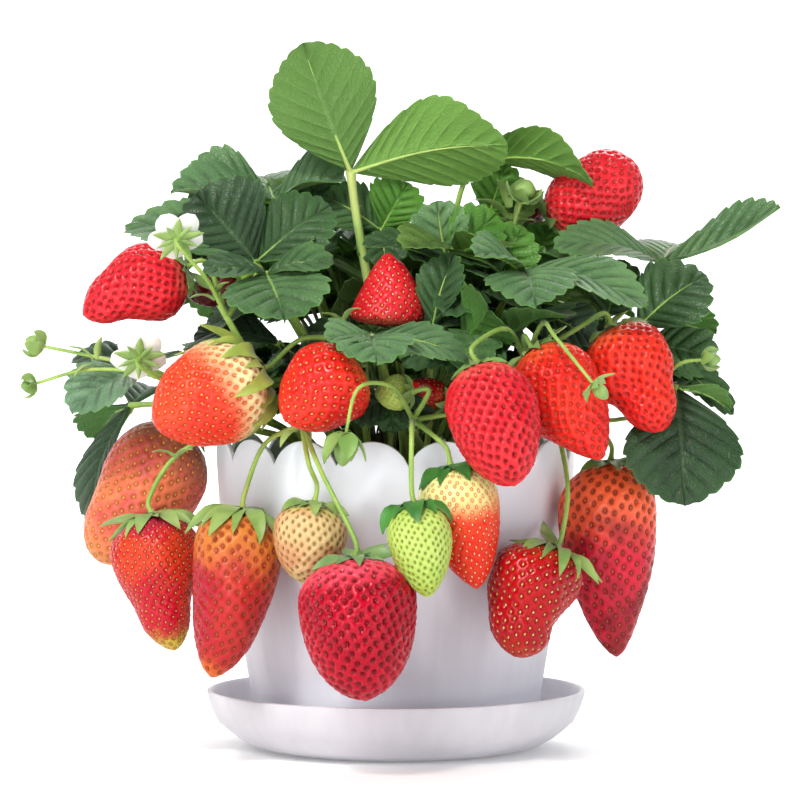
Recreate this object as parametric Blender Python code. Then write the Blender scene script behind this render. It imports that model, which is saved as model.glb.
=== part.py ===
"""A strawberry plant in fruit, in a scalloped white pot that stands on its saucer.

The frame: the origin is the middle of the saucer's underside, +Z is up and the front is -Y.
Lengths and places below are in millimetres, and MM turns them into Blender's metres.
"""

import math
from dataclasses import dataclass

import bmesh
import bpy
from mathutils import Vector

MM = 0.001
GAP = 0.3

# The saucer: a turned dish.
SAUCER_HEIGHT = 23.5
SAUCER_RADIUS = 75.6
SAUCER_FOOT_RADIUS = 50.0
SAUCER_FLOOR = 3.0
SAUCER_SIDES = 48

# The pot: a cone under a nearly upright collar whose rim is cut into convex scallops.
POT_BASE_Z = SAUCER_FLOOR + GAP
POT_BASE_RADIUS = 54.8
POT_COLLAR_Z = 97.0
POT_COLLAR_RADIUS = 70.6
POT_RIM_Z = 124.9
POT_RIM_RADIUS = 71.7
POT_WALL = 2.0
POT_FLOOR = 2.5
SCALLOPS = 16
SIDES_PER_SCALLOP = 5
SCALLOP_RADIUS = 15.3
SCALLOP_TURN = -97.3
DRAIN_HOLES = 6
DRAIN_RADIUS = 1.8
DRAIN_CIRCLE = 30.0

# The soil: it fills the pot and is a little domed, with a plain hole for each stem.
SOIL_EDGE_Z = 108.0
SOIL_TOP_Z = 112.0
SOIL_SIDES = 40
STEM_DEPTH = 11.0

# The crown: the short woody stump that the stems stand round.
CROWN_RADIUS = 8.0
CROWN_TOP_Z = 127.0

# Leaves and stems.
BLADE = 0.85
TOOTH = 2.4
STEM_SIDES = 5
BRANCH_SIDES = 4
STEM_LEAVE = 3.0
KNOB_RADIUS = 2.0
CALYX_PLATE = 1.0
CALYX_LIFT = 0.6
PEDICEL_RADII = (1.15, 1.0)
PEDICEL_LEAD = 8.0
TWIG_RADII = (1.0, 0.85)
FLOWER_PLATE = 0.8
PIT_DEPTH = 0.04
FLAT_ANGLE = math.radians(2.5)


@dataclass
class Berry:
    """A strawberry: where its calyx end and its tip are, and how wide it is."""

    base: tuple
    tip: tuple
    width: float
    belly: float = 0.34
    taper: float = 1.7
    bend: float = 0.0
    twin: float = 0.0
    sides: int = 12
    rows: int = 7
    colour: str = "red"
    lobes: int = 5
    sepal: float = 11.0
    curl: float = 4.0


@dataclass
class Leaflet:
    """A leaflet: from the leaf's joint to its tip, its width, and the way its upper face looks."""

    reach: tuple
    width: float
    face: tuple
    fold: float = 14.0
    arch: float = 0.10
    teeth: int = 4


@dataclass
class Leaf:
    """A leaf: the bearing and distance of its stalk's foot, its joint, and its leaflets."""

    foot: tuple
    joint: tuple
    leaflets: tuple
    stalk: float = 1.4
    lean: float = 0.35


@dataclass
class Truss:
    """A fruit stalk: its foot, the points its main stem passes, and the branches at its end."""

    foot: tuple
    way: tuple
    branches: tuple = ()
    buds: tuple = ()
    flowers: tuple = ()
    stalk: float = 1.7
    lean: float = 0.5


BERRIES = {
    "berry_left_big": Berry((-86, -3, 127), (-119, -5, 75), 40, taper=2.2, bend=2, colour="orange"),
    "berry_left_low": Berry((-95, -36, 94), (-86, -46, 43), 35, lobes=6, taper=1.6),
    "berry_long_left": Berry((-59, -64, 98), (-70, -72, 35), 34, lobes=6, belly=0.3, taper=1.9, bend=2),
    "berry_pale": Berry((-31, -79, 101), (-35, -84, 72), 28, taper=2.2, colour="cream", sepal=9),
    "berry_front_big": Berry((-15, -101, 82), (-12, -108, 30), 44, lobes=6, taper=1.8, sepal=12, curl=2),
    "berry_green": Berry((7, -103, 102), (12, -111, 69), 24, taper=1.9, colour="green", sepal=8, curl=2),
    "berry_front_right": Berry((21, -83, 115), (31, -87, 70), 31, colour="orange", sepal=10, curl=2),
    "berry_right_low": Berry((61, -67, 83), (45, -79, 44), 35, lobes=6, bend=-3, sepal=14),
    "berry_long_right": Berry((84, -36, 115), (86, -40, 40), 37, belly=0.3, taper=1.6, twin=0.05),
    "berry_left_rim": Berry((-54, -62, 151), (-91, -84, 132), 40, belly=0.38, taper=2.0, sepal=14),
    "berry_rim": Berry((-16, -76, 154), (-42, -89, 134), 34, taper=2.0, sepal=8, curl=1),
    "berry_upright": Berry((-5, -40, 169), (-3, -40, 197), 28, belly=0.2, taper=1.5, bend=-1),
    "berry_right_rim": Berry((31, -92, 154), (44, -105, 110), 34, belly=0.4, taper=2.0, sepal=8, curl=1),
    "berry_right_mid": Berry((53, -66, 159), (78, -85, 119), 33, belly=0.38, taper=2.0),
    "berry_twin": Berry((84, -49, 167), (102, -64, 129), 31, belly=0.42, taper=1.5, twin=0.1),
    "berry_upper_left": Berry((-83, -38, 191), (-121, -46, 173), 30, taper=1.7, bend=-2),
    "berry_upper_right": Berry((62, 10, 211), (97, 4, 232), 30, belly=0.5, taper=2.3),
    "berry_inner_red": Berry((18, -57, 140), (5, -55, 147), 13, sides=9, rows=6, sepal=5),
    "berry_inner_green": Berry((5, -72, 144), (-8, -68, 143), 14, sides=9, rows=6, colour="green", sepal=6),
    "berry_dark_left": Berry((-62, -22, 187), (-82, -19, 180), 16, sides=9, rows=6, colour="dark", sepal=6),
    "berry_dark_right": Berry((42, 24, 211), (62, 27, 218), 19, sides=9, rows=6, colour="dark", sepal=6),
    "berry_back_left": Berry((-50, 78, 112), (-52, 86, 64), 34, sides=9),
    "berry_back": Berry((0, 93, 99), (3, 100, 50), 36, sides=9),
    "berry_back_right": Berry((50, 78, 114), (55, 86, 68), 33, sides=9, colour="orange"),
}

LEAVES = {
    "leaf_top": Leaf((262, 13), (-18, -5, 230), (
        Leaflet((-19, -4, 51), 44, (0.1, 0.97, 0.2), fold=8, arch=-0.06),
        Leaflet((62, -22, 10), 42, (-0.1, 0.85, 0.5), fold=12),
        Leaflet((-27, 18, 19), 32, (0.3, 0.3, 0.9), fold=20, teeth=3),
    ), stalk=2.1, lean=0.1),
    "leaf_upper_right": Leaf((20, 14), (31, 2, 235), (
        Leaflet((47, -24, -9), 34, (0.15, -0.1, 1.0), fold=16, arch=0.16),
        Leaflet((-20, 44, 12), 36, (0.1, -0.2, 0.95), teeth=3),
        Leaflet((30, 46, 4), 36, (0.0, 0.1, 1.0), teeth=3),
    ), lean=0.2),
    "leaf_upper_left": Leaf((160, 14), (-49, 10, 219), (
        Leaflet((-41, -8, 4), 34, (0.0, -0.2, 1.0), fold=34, arch=0.03),
        Leaflet((29, -8, 8), 34, (-0.1, -0.25, 0.95), fold=32),
        Leaflet((-8, 40, 10), 32, (0.0, -0.1, 1.0), teeth=3),
    ), lean=0.3),
    "leaf_left_fan": Leaf((205, 14), (-55, -25, 194), (
        Leaflet((-24, 7, 27), 42, (-0.35, -0.75, 0.55), fold=10),
        Leaflet((29, 10, 22), 28, (0.35, -0.7, 0.6)),
        Leaflet((-52, 9, 15), 27, (-0.05, -0.5, 0.85)),
    ), lean=0.4),
    "leaf_left_front": Leaf((228, 14), (-50, -47, 189), (
        Leaflet((8, -32, -19), 40, (0.0, -0.62, 0.78), fold=8),
        Leaflet((-24, -10, 1), 22, (-0.2, -0.5, 0.85), teeth=3),
        Leaflet((26, -6, 5), 22, (0.2, -0.5, 0.85), teeth=3),
    ), lean=0.5),
    "leaf_front": Leaf((276, 24), (-9, -84, 165), (
        Leaflet((2, -25, -10), 29, (0.0, -0.6, 0.8), fold=8),
        Leaflet((-16, -12, -2), 20, (-0.2, -0.6, 0.8), teeth=3),
        Leaflet((36, -3, -8), 20, (0.15, -0.6, 0.8)),
    ), lean=0.8),
    "leaf_right_front": Leaf((325, 14), (49, -54, 190), (
        Leaflet((4, -30, -14), 34, (0.0, -0.6, 0.8), fold=8),
        Leaflet((-19, -16, 6), 26, (-0.25, -0.6, 0.75)),
        Leaflet((47, -14, -14), 25, (0.2, -0.6, 0.75)),
    ), lean=0.5),
    "leaf_middle": Leaf((300, 13), (20, -24, 193), (
        Leaflet((-33, -12, 8), 18, (-0.1, -0.55, 0.85), fold=24, teeth=3),
        Leaflet((-4, 2, 25), 24, (-0.2, -0.9, 0.35), teeth=3),
        Leaflet((20, 2, 20), 24, (0.3, -0.8, 0.5), teeth=3),
    ), lean=0.3),
    "leaf_middle_low": Leaf((297, 23), (14, -46, 168), (
        Leaflet((9, 2, 29), 20, (-0.4, -0.9, 0.3), fold=20),
        Leaflet((17, 14, 2), 18, (0.1, -0.4, 0.9), teeth=3),
    ), lean=0.5),
    "leaf_right_far": Leaf((345, 22), (106, -4, 194), (
        Leaflet((-44, -22, 6), 24, (0.0, -0.35, 0.95)),
        Leaflet((46, -10, 22), 25, (-0.2, -0.5, 0.8), fold=30, arch=-0.06),
        Leaflet((12, 40, 6), 30, (0.0, 0.0, 1.0), teeth=3),
    ), lean=0.8),
    "leaf_right_mid": Leaf((326, 24), (95, -24, 168), (
        Leaflet((27, 0, 21), 35, (-0.35, -0.8, 0.5), fold=8),
        Leaflet((5, -9, -21), 18, (0.3, -0.9, 0.3), fold=20, teeth=3),
        Leaflet((32, 10, -2), 26, (0.0, 0.3, 1.0), teeth=3),
    ), lean=0.8),
    "leaf_right_low": Leaf((5, 23), (109, -40, 145), (
        Leaflet((2, -18, -45), 46, (0.1, -0.93, 0.36), fold=6, arch=0.06),
        Leaflet((22, 8, -9), 14, (0.1, 0.3, 1.0), teeth=3),
        Leaflet((-8, 36, -8), 26, (0.1, 0.2, 1.0), teeth=3),
    ), lean=1.0),
    "leaf_left_low": Leaf((186, 25), (-98, -26, 152), (
        Leaflet((-30, 10, 4), 18, (0.0, -0.5, 0.85), teeth=3),
        Leaflet((-26, -16, -14), 26, (-0.3, -0.6, 0.75)),
        Leaflet((2, 30, 2), 22, (0.0, -0.2, 1.0), teeth=3),
    ), lean=1.0),
    "leaf_left_hanging": Leaf((170, 24), (-108, 27, 136), (
        Leaflet((-16, -3, -50), 34, (-0.85, -0.4, 0.35), fold=8, arch=0.08),
        Leaflet((-16, 32, -14), 28, (-0.3, 0.2, 0.95), teeth=3),
        Leaflet((14, 34, 4), 28, (0.0, 0.0, 1.0), teeth=3),
    ), lean=1.0),
    "leaf_left_inner": Leaf((213, 24), (-46, -22, 162), (
        Leaflet((-34, 4, 2), 26, (0.0, -0.5, 0.85), teeth=3),
        Leaflet((16, -4, -16), 20, (0.3, -0.6, 0.7), teeth=3),
    ), lean=0.6),
    "leaf_right_inner": Leaf((313, 27), (56, -20, 174), (
        Leaflet((22, -4, -12), 28, (0.3, -0.6, 0.8), teeth=3),
        Leaflet((-22, 12, -16), 30, (-0.3, -0.6, 0.8), teeth=3),
        Leaflet((2, -24, -4), 26, (0.0, -0.4, 0.9), teeth=3),
    ), lean=0.6),
    "leaf_back_left": Leaf((125, 14), (-54, 50, 182), (
        Leaflet((-24, 34, -10), 42, (-0.3, 0.4, 0.9)),
        Leaflet((-42, -6, -8), 36, (-0.3, 0.2, 0.95), teeth=3),
        Leaflet((20, 32, -4), 36, (0.1, 0.4, 0.9), teeth=3),
    ), lean=0.5),
    "leaf_back_right": Leaf((50, 14), (58, 52, 180), (
        Leaflet((24, 34, -10), 42, (0.3, 0.4, 0.9)),
        Leaflet((40, -10, -8), 36, (0.3, 0.2, 0.95), teeth=3),
        Leaflet((-20, 32, -4), 36, (-0.1, 0.4, 0.9), teeth=3),
    ), lean=0.5),
    "leaf_back": Leaf((92, 18), (0, 62, 164), (
        Leaflet((2, 38, -24), 44, (0.0, 0.5, 0.85)),
        Leaflet((-38, 12, -12), 38, (-0.3, 0.4, 0.9), teeth=3),
        Leaflet((38, 10, -10), 38, (0.3, 0.4, 0.9), teeth=3),
    ), lean=0.7),
}

# Each branch is a berry's name and the points its own stalk passes on the way there.
TRUSSES = {
    "truss_left": Truss((198, 32), ((-48, -22, 126), (-71, -32, 131)), (
        ("berry_left_low", ((-86, -34, 118),)),
        ("berry_left_big", ()),
    ), buds=(
        ((-139, -34, 161), (-6, 0, 3), 3.6, ((-90, -42, 150), (-118, -40, 157))),
        ((-142, -34, 146), (-5, 0, -1), 2.9, ((-90, -44, 148), (-118, -42, 152))),
    ), flowers=(
        ((-99, -54, 157), (-0.1, 0.8, 0.5), 23, ((-84, -48, 144),)),
    ), lean=0.8),
    "truss_left_front": Truss((236, 32), ((-30, -52, 133), (-38, -66, 130)), (
        ("berry_long_left", ((-50, -67, 124),)),
        ("berry_pale", ((-33, -80, 117),)),
        ("berry_front_big", ((-28, -86, 114),)),
    ), lean=0.8),
    "truss_front": Truss((284, 32), ((6, -56, 130), (7, -71, 134)), (
        ("berry_green", ((6, -96, 130),)),
        ("berry_front_right", ((15, -80, 127),)),
        ("berry_inner_red", ()),
        ("berry_inner_green", ()),
    ), buds=(((-19, -98, 128), (-1, 0, -12), 4.5, ((-1, -86, 146), (-14, -100, 146))),), lean=0.8),
    "truss_front_high": Truss((252, 30), ((-14, -46, 140), (-21, -58, 172)), (
        ("berry_left_rim", ((-36, -61, 164),)),
        ("berry_rim", ((-14, -64, 164),)),
        ("berry_upright", ((-12, -50, 160),)),
    ), lean=0.5),
    "truss_right_front": Truss((304, 34), ((36, -46, 144), (55, -54, 160)), (
        ("berry_right_rim", ((42, -70, 168),)),
        ("berry_right_mid", ()),
        ("berry_twin", ((70, -54, 168),)),
    ), buds=(((74, -106, 147), (5, -1, -5), 3.0, ((56, -68, 170), (60, -90, 165))),), lean=0.6),
    "truss_right": Truss((334, 32), ((52, -30, 132), (66, -42, 131)), (
        ("berry_right_low", ((66, -60, 108),)),
        ("berry_long_right", ((76, -40, 130),)),
    ), buds=(((120, -48, 156), (6, -2, 0), 3.0, ((94, -34, 134), (108, -47, 153))),), lean=0.9),
    "truss_upper_right": Truss((24, 26), ((34, 10, 160), (44, 8, 198)), (
        ("berry_upper_right", ()),
        ("berry_dark_right", ()),
    ), buds=(((50, -8, 220), (3, -2, 7), 5.0, ()),), lean=0.3),
    "truss_upper_left": Truss((214, 35), ((-56, -46, 156), (-68, -51, 177)), (
        ("berry_upper_left", ((-72, -36, 190),)),
        ("berry_dark_left", ()),
    ), flowers=(
        ((-84, -62, 203), (-0.2, 0.75, 0.55), 23, ((-72, -58, 186),)),
    ), lean=0.7),
    "truss_back": Truss((82, 30), ((0, 62, 134), (2, 78, 128)), (
        ("berry_back_left", ((-34, 80, 128),)),
        ("berry_back", ((1, 90, 118),)),
        ("berry_back_right", ((34, 80, 130),)),
    ), lean=0.8),
}

# Base colour and roughness of each finish.
FINISHES = {
    "white": ((0.80, 0.80, 0.88), 0.35),
    "soil": ((0.05, 0.035, 0.025), 0.95),
    "bark": ((0.16, 0.11, 0.05), 0.85),
    "leaf": ((0.06, 0.20, 0.05), 0.55),
    "stem": ((0.36, 0.56, 0.12), 0.5),
    "petal": ((0.88, 0.88, 0.82), 0.6),
    "red": ((0.70, 0.02, 0.02), 0.3),
    "orange": ((0.82, 0.12, 0.03), 0.35),
    "dark": ((0.16, 0.01, 0.02), 0.4),
    "cream": ((0.85, 0.70, 0.42), 0.4),
    "green": ((0.48, 0.66, 0.16), 0.4),
}


def clear_scene():
    """Remove everything the file starts with."""
    for obj in list(bpy.data.objects):
        bpy.data.objects.remove(obj, do_unlink=True)


def finish(name):
    """The material of that name, made once."""
    material = bpy.data.materials.get(name)
    if material:
        return material
    colour, roughness = FINISHES[name]
    material = bpy.data.materials.new(name)
    material.use_nodes = True
    shader = material.node_tree.nodes["Principled BSDF"]
    shader.inputs["Base Color"].default_value = (*colour, 1.0)
    shader.inputs["Roughness"].default_value = roughness
    material.diffuse_color = (*colour, 1.0)
    return material


def add_object(name, mesh, material, smooth_angle=40.0):
    """An object of this mesh, in the scene, shaded smooth up to the angle."""
    mesh.materials.clear()
    mesh.materials.append(finish(material))
    mesh.shade_smooth()
    mesh.set_sharp_from_angle(angle=math.radians(smooth_angle))
    obj = bpy.data.objects.new(name, mesh)
    bpy.context.scene.collection.objects.link(obj)
    return obj


def mesh_of(points, faces):
    """A mesh from points in millimetres, with its faces turned outwards."""
    mesh = bpy.data.meshes.new("shape")
    mesh.from_pydata([Vector(point) * MM for point in points], [], faces)
    build = bmesh.new()
    build.from_mesh(mesh)
    bmesh.ops.recalc_face_normals(build, faces=build.faces)
    bmesh.ops.triangulate(build, faces=build.faces)
    build.to_mesh(mesh)
    build.free()
    return mesh


def ring_faces(lower, upper):
    """The quads between two rings of point numbers."""
    count = len(lower)
    return [
        (lower[i], lower[(i + 1) % count], upper[(i + 1) % count], upper[i]) for i in range(count)
    ]


def lathe(rings):
    """A closed mesh through rings of points, with a point in the middle of each end."""
    points = [point for ring in rings for point in ring]
    count = len(rings[0])
    numbers = [list(range(i * count, (i + 1) * count)) for i in range(len(rings))]
    faces = []
    for lower, upper in zip(numbers, numbers[1:]):
        faces += ring_faces(lower, upper)
    for end in (0, -1):
        points.append(sum((Vector(point) for point in rings[end]), Vector()) / count)
        faces += [
            (numbers[end][i], numbers[end][(i + 1) % count], len(points) - 1)
            for i in range(count)
        ]
    return mesh_of(points, faces)


def plate_mesh(top, low, faces, rim, points):
    """A thin plate: its faces twice, walls along its rim, and the listed points brought to an edge."""
    count = len(top)
    middles = {i: (top[i] + low[i]) / 2 for i in points}
    places = [middles.get(i, place) for i, place in enumerate(top)] + list(low)

    def under(i):
        return i if i in middles else count + i

    faces = list(faces)
    faces += [tuple(under(i) for i in reversed(face)) for face in faces]
    for a, b in rim:
        wall = [(a, under(a), b), (b, under(a), under(b))]
        faces += [face for face in wall if len(set(face)) == 3]
    build = bmesh.new()
    corners = [build.verts.new(Vector(place) * MM) for place in places]
    for face in faces:
        build.faces.new([corners[i] for i in face])
    loose = [corner for corner in build.verts if not corner.link_faces]
    bmesh.ops.delete(build, geom=loose, context="VERTS")
    bmesh.ops.recalc_face_normals(build, faces=build.faces)
    mesh = bpy.data.meshes.new("plate")
    build.to_mesh(mesh)
    build.free()
    return mesh


def circle(radius, height, sides, turn=0.0):
    """A level ring of points."""
    return [
        (
            radius * math.cos(turn + math.tau * i / sides),
            radius * math.sin(turn + math.tau * i / sides),
            height,
        )
        for i in range(sides)
    ]


def cut(obj, cutters, operation="DIFFERENCE"):
    """Apply one Boolean of all these meshes to the object, and remove them."""
    helpers = bpy.data.collections.new("helpers")
    bpy.context.scene.collection.children.link(helpers)
    for mesh in cutters:
        helper = bpy.data.objects.new("helper", mesh)
        helper.hide_render = True
        helper.display_type = "WIRE"
        helpers.objects.link(helper)
    modifier = obj.modifiers.new("boolean", "BOOLEAN")
    modifier.operation = operation
    modifier.operand_type = "COLLECTION"
    modifier.collection = helpers
    modifier.solver = "EXACT"
    bpy.context.view_layer.objects.active = obj
    bpy.ops.object.modifier_apply(modifier=modifier.name)
    for helper in list(helpers.objects):
        bpy.data.objects.remove(helper, do_unlink=True)
    bpy.data.collections.remove(helpers)


def fuse(name, shapes, material):
    """One solid from closed shapes that overlap, with what stays flat left in one face."""
    obj = add_object(name, shapes[0], material)
    cut(obj, shapes[1:], "UNION")
    build = bmesh.new()
    build.from_mesh(obj.data)
    bmesh.ops.dissolve_limit(
        build, angle_limit=FLAT_ANGLE, verts=build.verts, edges=build.edges
    )
    bmesh.ops.triangulate(build, faces=build.faces)
    build.to_mesh(obj.data)
    build.free()
    return obj


def bearing(foot):
    """The level direction of a foot given as (degrees from +X, distance)."""
    return Vector((math.cos(math.radians(foot[0])), math.sin(math.radians(foot[0])), 0.0))


def foot_points(foot, lean):
    """The end of a stem down in the soil, and the point where it comes out."""
    out = bearing(foot)
    direction = (out * lean + Vector((0, 0, 1))).normalized()
    surface = out * foot[1] + Vector((0, 0, SOIL_TOP_Z))
    return surface - direction * STEM_DEPTH, surface + direction * STEM_LEAVE


def smooth_path(points, steps=2):
    """A Catmull-Rom curve through the points."""
    points = [Vector(point) for point in points]
    ends = [points[0] * 2 - points[1]] + points + [points[-1] * 2 - points[-2]]
    path = []
    for a, b, c, d in zip(ends, ends[1:], ends[2:], ends[3:]):
        for k in range(steps):
            t = k / steps
            path.append(
                0.5
                * (
                    b * 2
                    + (c - a) * t
                    + (a * 2 - b * 5 + c * 4 - d) * t * t
                    + (b * 3 - a - c * 3 + d) * t * t * t
                )
            )
    return path + [points[-1]]


def tube(path, thick, thin, sides=STEM_SIDES, knob=0.0):
    """A closed round stem along the path, from one radius to the other or to a knob at its end."""
    rings = []
    side = None
    for i, point in enumerate(path):
        ahead = (path[min(i + 1, len(path) - 1)] - path[max(i - 1, 0)]).normalized()
        if side is None:
            side = ahead.orthogonal().normalized()
        side = (side - ahead * side.dot(ahead)).normalized()
        other = ahead.cross(side)
        radius = thick + (thin - thick) * i / (len(path) - 1)
        if knob and i >= len(path) - 2:
            radius = knob
        rings.append(
            [
                point
                + (side * math.cos(math.tau * k / sides) + other * math.sin(math.tau * k / sides))
                * radius
                for k in range(sides)
            ]
        )
    return lathe(rings)


def berry_axes(berry):
    """The berry's base, length and three unit directions, the last along its axis."""
    base = Vector(berry.base)
    axis = Vector(berry.tip) - base
    length = axis.length
    axis.normalize()
    side = axis.cross(Vector((0.0, 1.0, 0.2))).normalized()
    return base, length, side, axis.cross(side), axis


def berry_radius(berry, along):
    """The berry's radius at a share of its length: a round shoulder and a tapered tip."""
    if along < berry.belly:
        share = (berry.belly - along) / berry.belly
        return berry.width / 2 * (1 - share**2.3) ** (1 / 2.3)
    share = (along - berry.belly) / (1 - berry.belly)
    return berry.width / 2 * max(0.0, 1 - share**berry.taper) ** 0.66


def berry_point(berry, along, angle, outward=0.0):
    """A point on the berry's skin, or this far outside it."""
    base, length, side, other, axis = berry_axes(berry)
    radius = berry_radius(berry, along) * (1 + berry.twin * math.cos(2 * angle)) + outward
    middle = base + axis * (length * along) + side * (berry.bend * 4 * along * (1 - along))
    return middle + (side * math.cos(angle) + other * math.sin(angle)) * radius


def berry_mesh(berry):
    """A berry whose skin is a staggered net of points, every third one sunk as a seed pit."""
    sides, rows = berry.sides, berry.rows
    pit = PIT_DEPTH * berry.width
    points = [berry_point(berry, 0.0, 0.0)]
    for row in range(1, rows + 1):
        along = (1 - math.cos(math.pi * (row - 0.2) / (rows + 0.6))) / 2
        for k in range(sides):
            sunk = pit if (k - row) % 3 == 0 and 1 < row < rows else 0.0
            points.append(berry_point(berry, along, math.tau * (k + row / 2) / sides, -sunk))
    points.append(berry_point(berry, 1.0, 0.0))
    faces = []
    for k in range(sides):
        nearby = (k + 1) % sides
        faces.append((0, 1 + nearby, 1 + k))
        last = 1 + (rows - 1) * sides
        faces.append((len(points) - 1, last + k, last + nearby))
        for row in range(rows - 1):
            low, high = 1 + row * sides, 1 + (row + 1) * sides
            faces.append((low + k, low + nearby, high + k))
            faces.append((low + nearby, high + nearby, high + k))
    return mesh_of(points, faces)


def sepal_place(berry, distance):
    """The share of the berry's length at this distance from its calyx, over the skin."""
    length = berry_axes(berry)[1]
    walked, along = 0.0, 0.0
    step = 0.01
    while walked < distance and along < 0.9:
        rise = berry_radius(berry, along + step) - berry_radius(berry, along)
        walked += math.hypot(rise, step * length)
        along += step
    return along


def calyx_mesh(berry):
    """The green star on a berry's shoulder, lying just clear of the skin and curling up at its tips."""
    lobes = berry.lobes
    axis = berry_axes(berry)[4]
    top, low = [], []

    def add(distance, angle, lift):
        along = sepal_place(berry, distance)
        near = berry_point(berry, along, angle)
        after = berry_point(berry, along + 0.02, angle) - near
        across = berry_point(berry, along, angle + 0.1) - near
        normal = across.cross(after).normalized()
        if distance == 0 or normal.length < 0.5:
            normal = -axis
        if normal.dot(near - berry_point(berry, 0.4, angle + math.pi)) < 0:
            normal = -normal
        low.append(near + normal * (CALYX_LIFT + lift))
        top.append(near + normal * (CALYX_LIFT + lift + CALYX_PLATE))

    add(0.0, 0.0, 0.0)
    hub, middle = 0.22 * berry.sepal, 0.55 * berry.sepal
    half = 0.30 * math.tau / lobes
    for k in range(lobes):
        add(hub + 0.6, math.tau * (k - 0.5) / lobes, 0.1)
    for k in range(lobes):
        angle = math.tau * k / lobes
        add(middle, angle - half, 0.3 + 0.2 * berry.curl)
        add(middle, angle + half, 0.3 + 0.2 * berry.curl)
        add(berry.sepal * (1.0 + 0.12 * math.sin(5.0 * k)), angle, 0.3 + berry.curl)
    upper, rim, points = [], [], []
    for k in range(lobes):
        before, after = 1 + k, 1 + (k + 1) % lobes
        left, right, tip = (1 + lobes + 3 * k + j for j in range(3))
        upper += [(0, before, after), (before, left, after), (left, right, after), (left, tip, right)]
        rim += [(before, left), (left, tip), (tip, right), (right, after)]
        points.append(tip)
    return plate_mesh(top, low, upper, rim, points)


def leaflet_half_width(leaflet, along):
    """Half the blade's width at a share of its length: a wedge that opens to a round end."""
    return leaflet.width / 2 * math.sin(math.pi * along**1.35) ** 0.85


def leaflet_point(leaflet, joint, along, across):
    """A point of the blade's upper face; across is -1 and 1 at its edges."""
    reach = Vector(leaflet.reach)
    length = reach.length
    ahead = reach / length
    side = ahead.cross(Vector(leaflet.face)).normalized()
    normal = side.cross(ahead)
    half = max(leaflet_half_width(leaflet, along), 0.9)
    fold = math.radians(leaflet.fold)
    rise = leaflet.arch * length * math.sin(math.pi * along)
    point = Vector(joint) + ahead * (length * along)
    point += side * (across * half * math.cos(fold))
    return point + normal * (rise + abs(across) * half * math.sin(fold)), normal


def leaflet_mesh(leaflet, joint):
    """A toothed blade in two halves that meet at the rib."""
    steps = leaflet.teeth + 1
    reach = Vector(leaflet.reach).length
    shares = [0.3 / reach] + [0.2 + 0.73 * k / (steps - 1) for k in range(steps)]
    top = []

    def add(along, across):
        top.append(leaflet_point(leaflet, joint, along, across)[0])
        return len(top) - 1

    rib = [add(share, 0.0) for share in shares]
    tip = add(1.0, 0.0)
    faces, rim, points = [], [], [tip]
    for hand in (-1, 1):
        edge = [add(share, hand) for share in shares]
        for k in range(steps):
            quad = [(rib[k], edge[k], edge[k + 1]), (rib[k], edge[k + 1], rib[k + 1])]
            if k:
                share = shares[k] + 0.8 * (shares[k + 1] - shares[k])
                grow = 1.0 + TOOTH / max(3.0, leaflet_half_width(leaflet, share))
                tooth = add(share, hand * grow)
                points.append(tooth)
                quad.append((edge[k], tooth, edge[k + 1]))
                rim += [(edge[k], tooth), (tooth, edge[k + 1])]
            else:
                rim.append((edge[k], edge[k + 1]))
            faces += quad if hand < 0 else [face[::-1] for face in quad]
        end = (rib[-1], edge[-1], tip)
        faces.append(end if hand < 0 else end[::-1])
        rim += [(edge[-1], tip), (rib[0], edge[0])]
    normal = leaflet_point(leaflet, joint, 0.5, 0.0)[1]
    low = [point - normal * BLADE for point in top]
    return plate_mesh(top, low, faces, rim, points)


def stalk_path(leaf, steps=4):
    """The leaf stalk: straight out of the soil, then one easy curve to the joint."""
    foot, surface = foot_points(leaf.foot, leaf.lean)
    joint = Vector(leaf.joint)
    span = (joint - surface).length
    leave = (surface - foot).normalized() * span
    arrive = (Vector(leaf.leaflets[0].reach).normalized() * 0.4 + (joint - surface).normalized())
    arrive = arrive.normalized() * span * 0.8
    path = [foot]
    for k in range(steps + 1):
        t = k / steps
        path.append(
            surface * (2 * t**3 - 3 * t**2 + 1)
            + leave * (t**3 - 2 * t**2 + t)
            + joint * (3 * t**2 - 2 * t**3)
            + arrive * (t**3 - t**2)
        )
    short = arrive.normalized() * 1.6
    return [*path[:-1], joint - short * 2.0, joint - short * 0.8, joint + short]


def make_leaf(name, leaf):
    """The stalk and its leaflets as one solid."""
    shapes = [tube(stalk_path(leaf), leaf.stalk, leaf.stalk * 0.8, BRANCH_SIDES, KNOB_RADIUS)]
    shapes += [leaflet_mesh(leaflet, leaf.joint) for leaflet in leaf.leaflets]
    return fuse(name, shapes, "leaf")


def spindle(base, reach, width, sides=5):
    """A small closed bud or young fruit."""
    base, reach = Vector(base), Vector(reach)
    axis = reach.normalized()
    side = axis.orthogonal().normalized()
    other = axis.cross(side)
    rings = []
    for share, size in ((0.0, 0.5), (0.35, 1.0), (0.75, 0.75), (1.0, 0.25)):
        rings.append(
            [
                base
                + reach * share
                + (side * math.cos(math.tau * k / sides) + other * math.sin(math.tau * k / sides))
                * (width * size)
                for k in range(sides)
            ]
        )
    return lathe(rings)


def flower_frame(centre, face):
    """The flower's centre and its three directions, the last the way it faces."""
    axis = Vector(face).normalized()
    side = axis.orthogonal().normalized()
    return Vector(centre), side, axis.cross(side), axis


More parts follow.
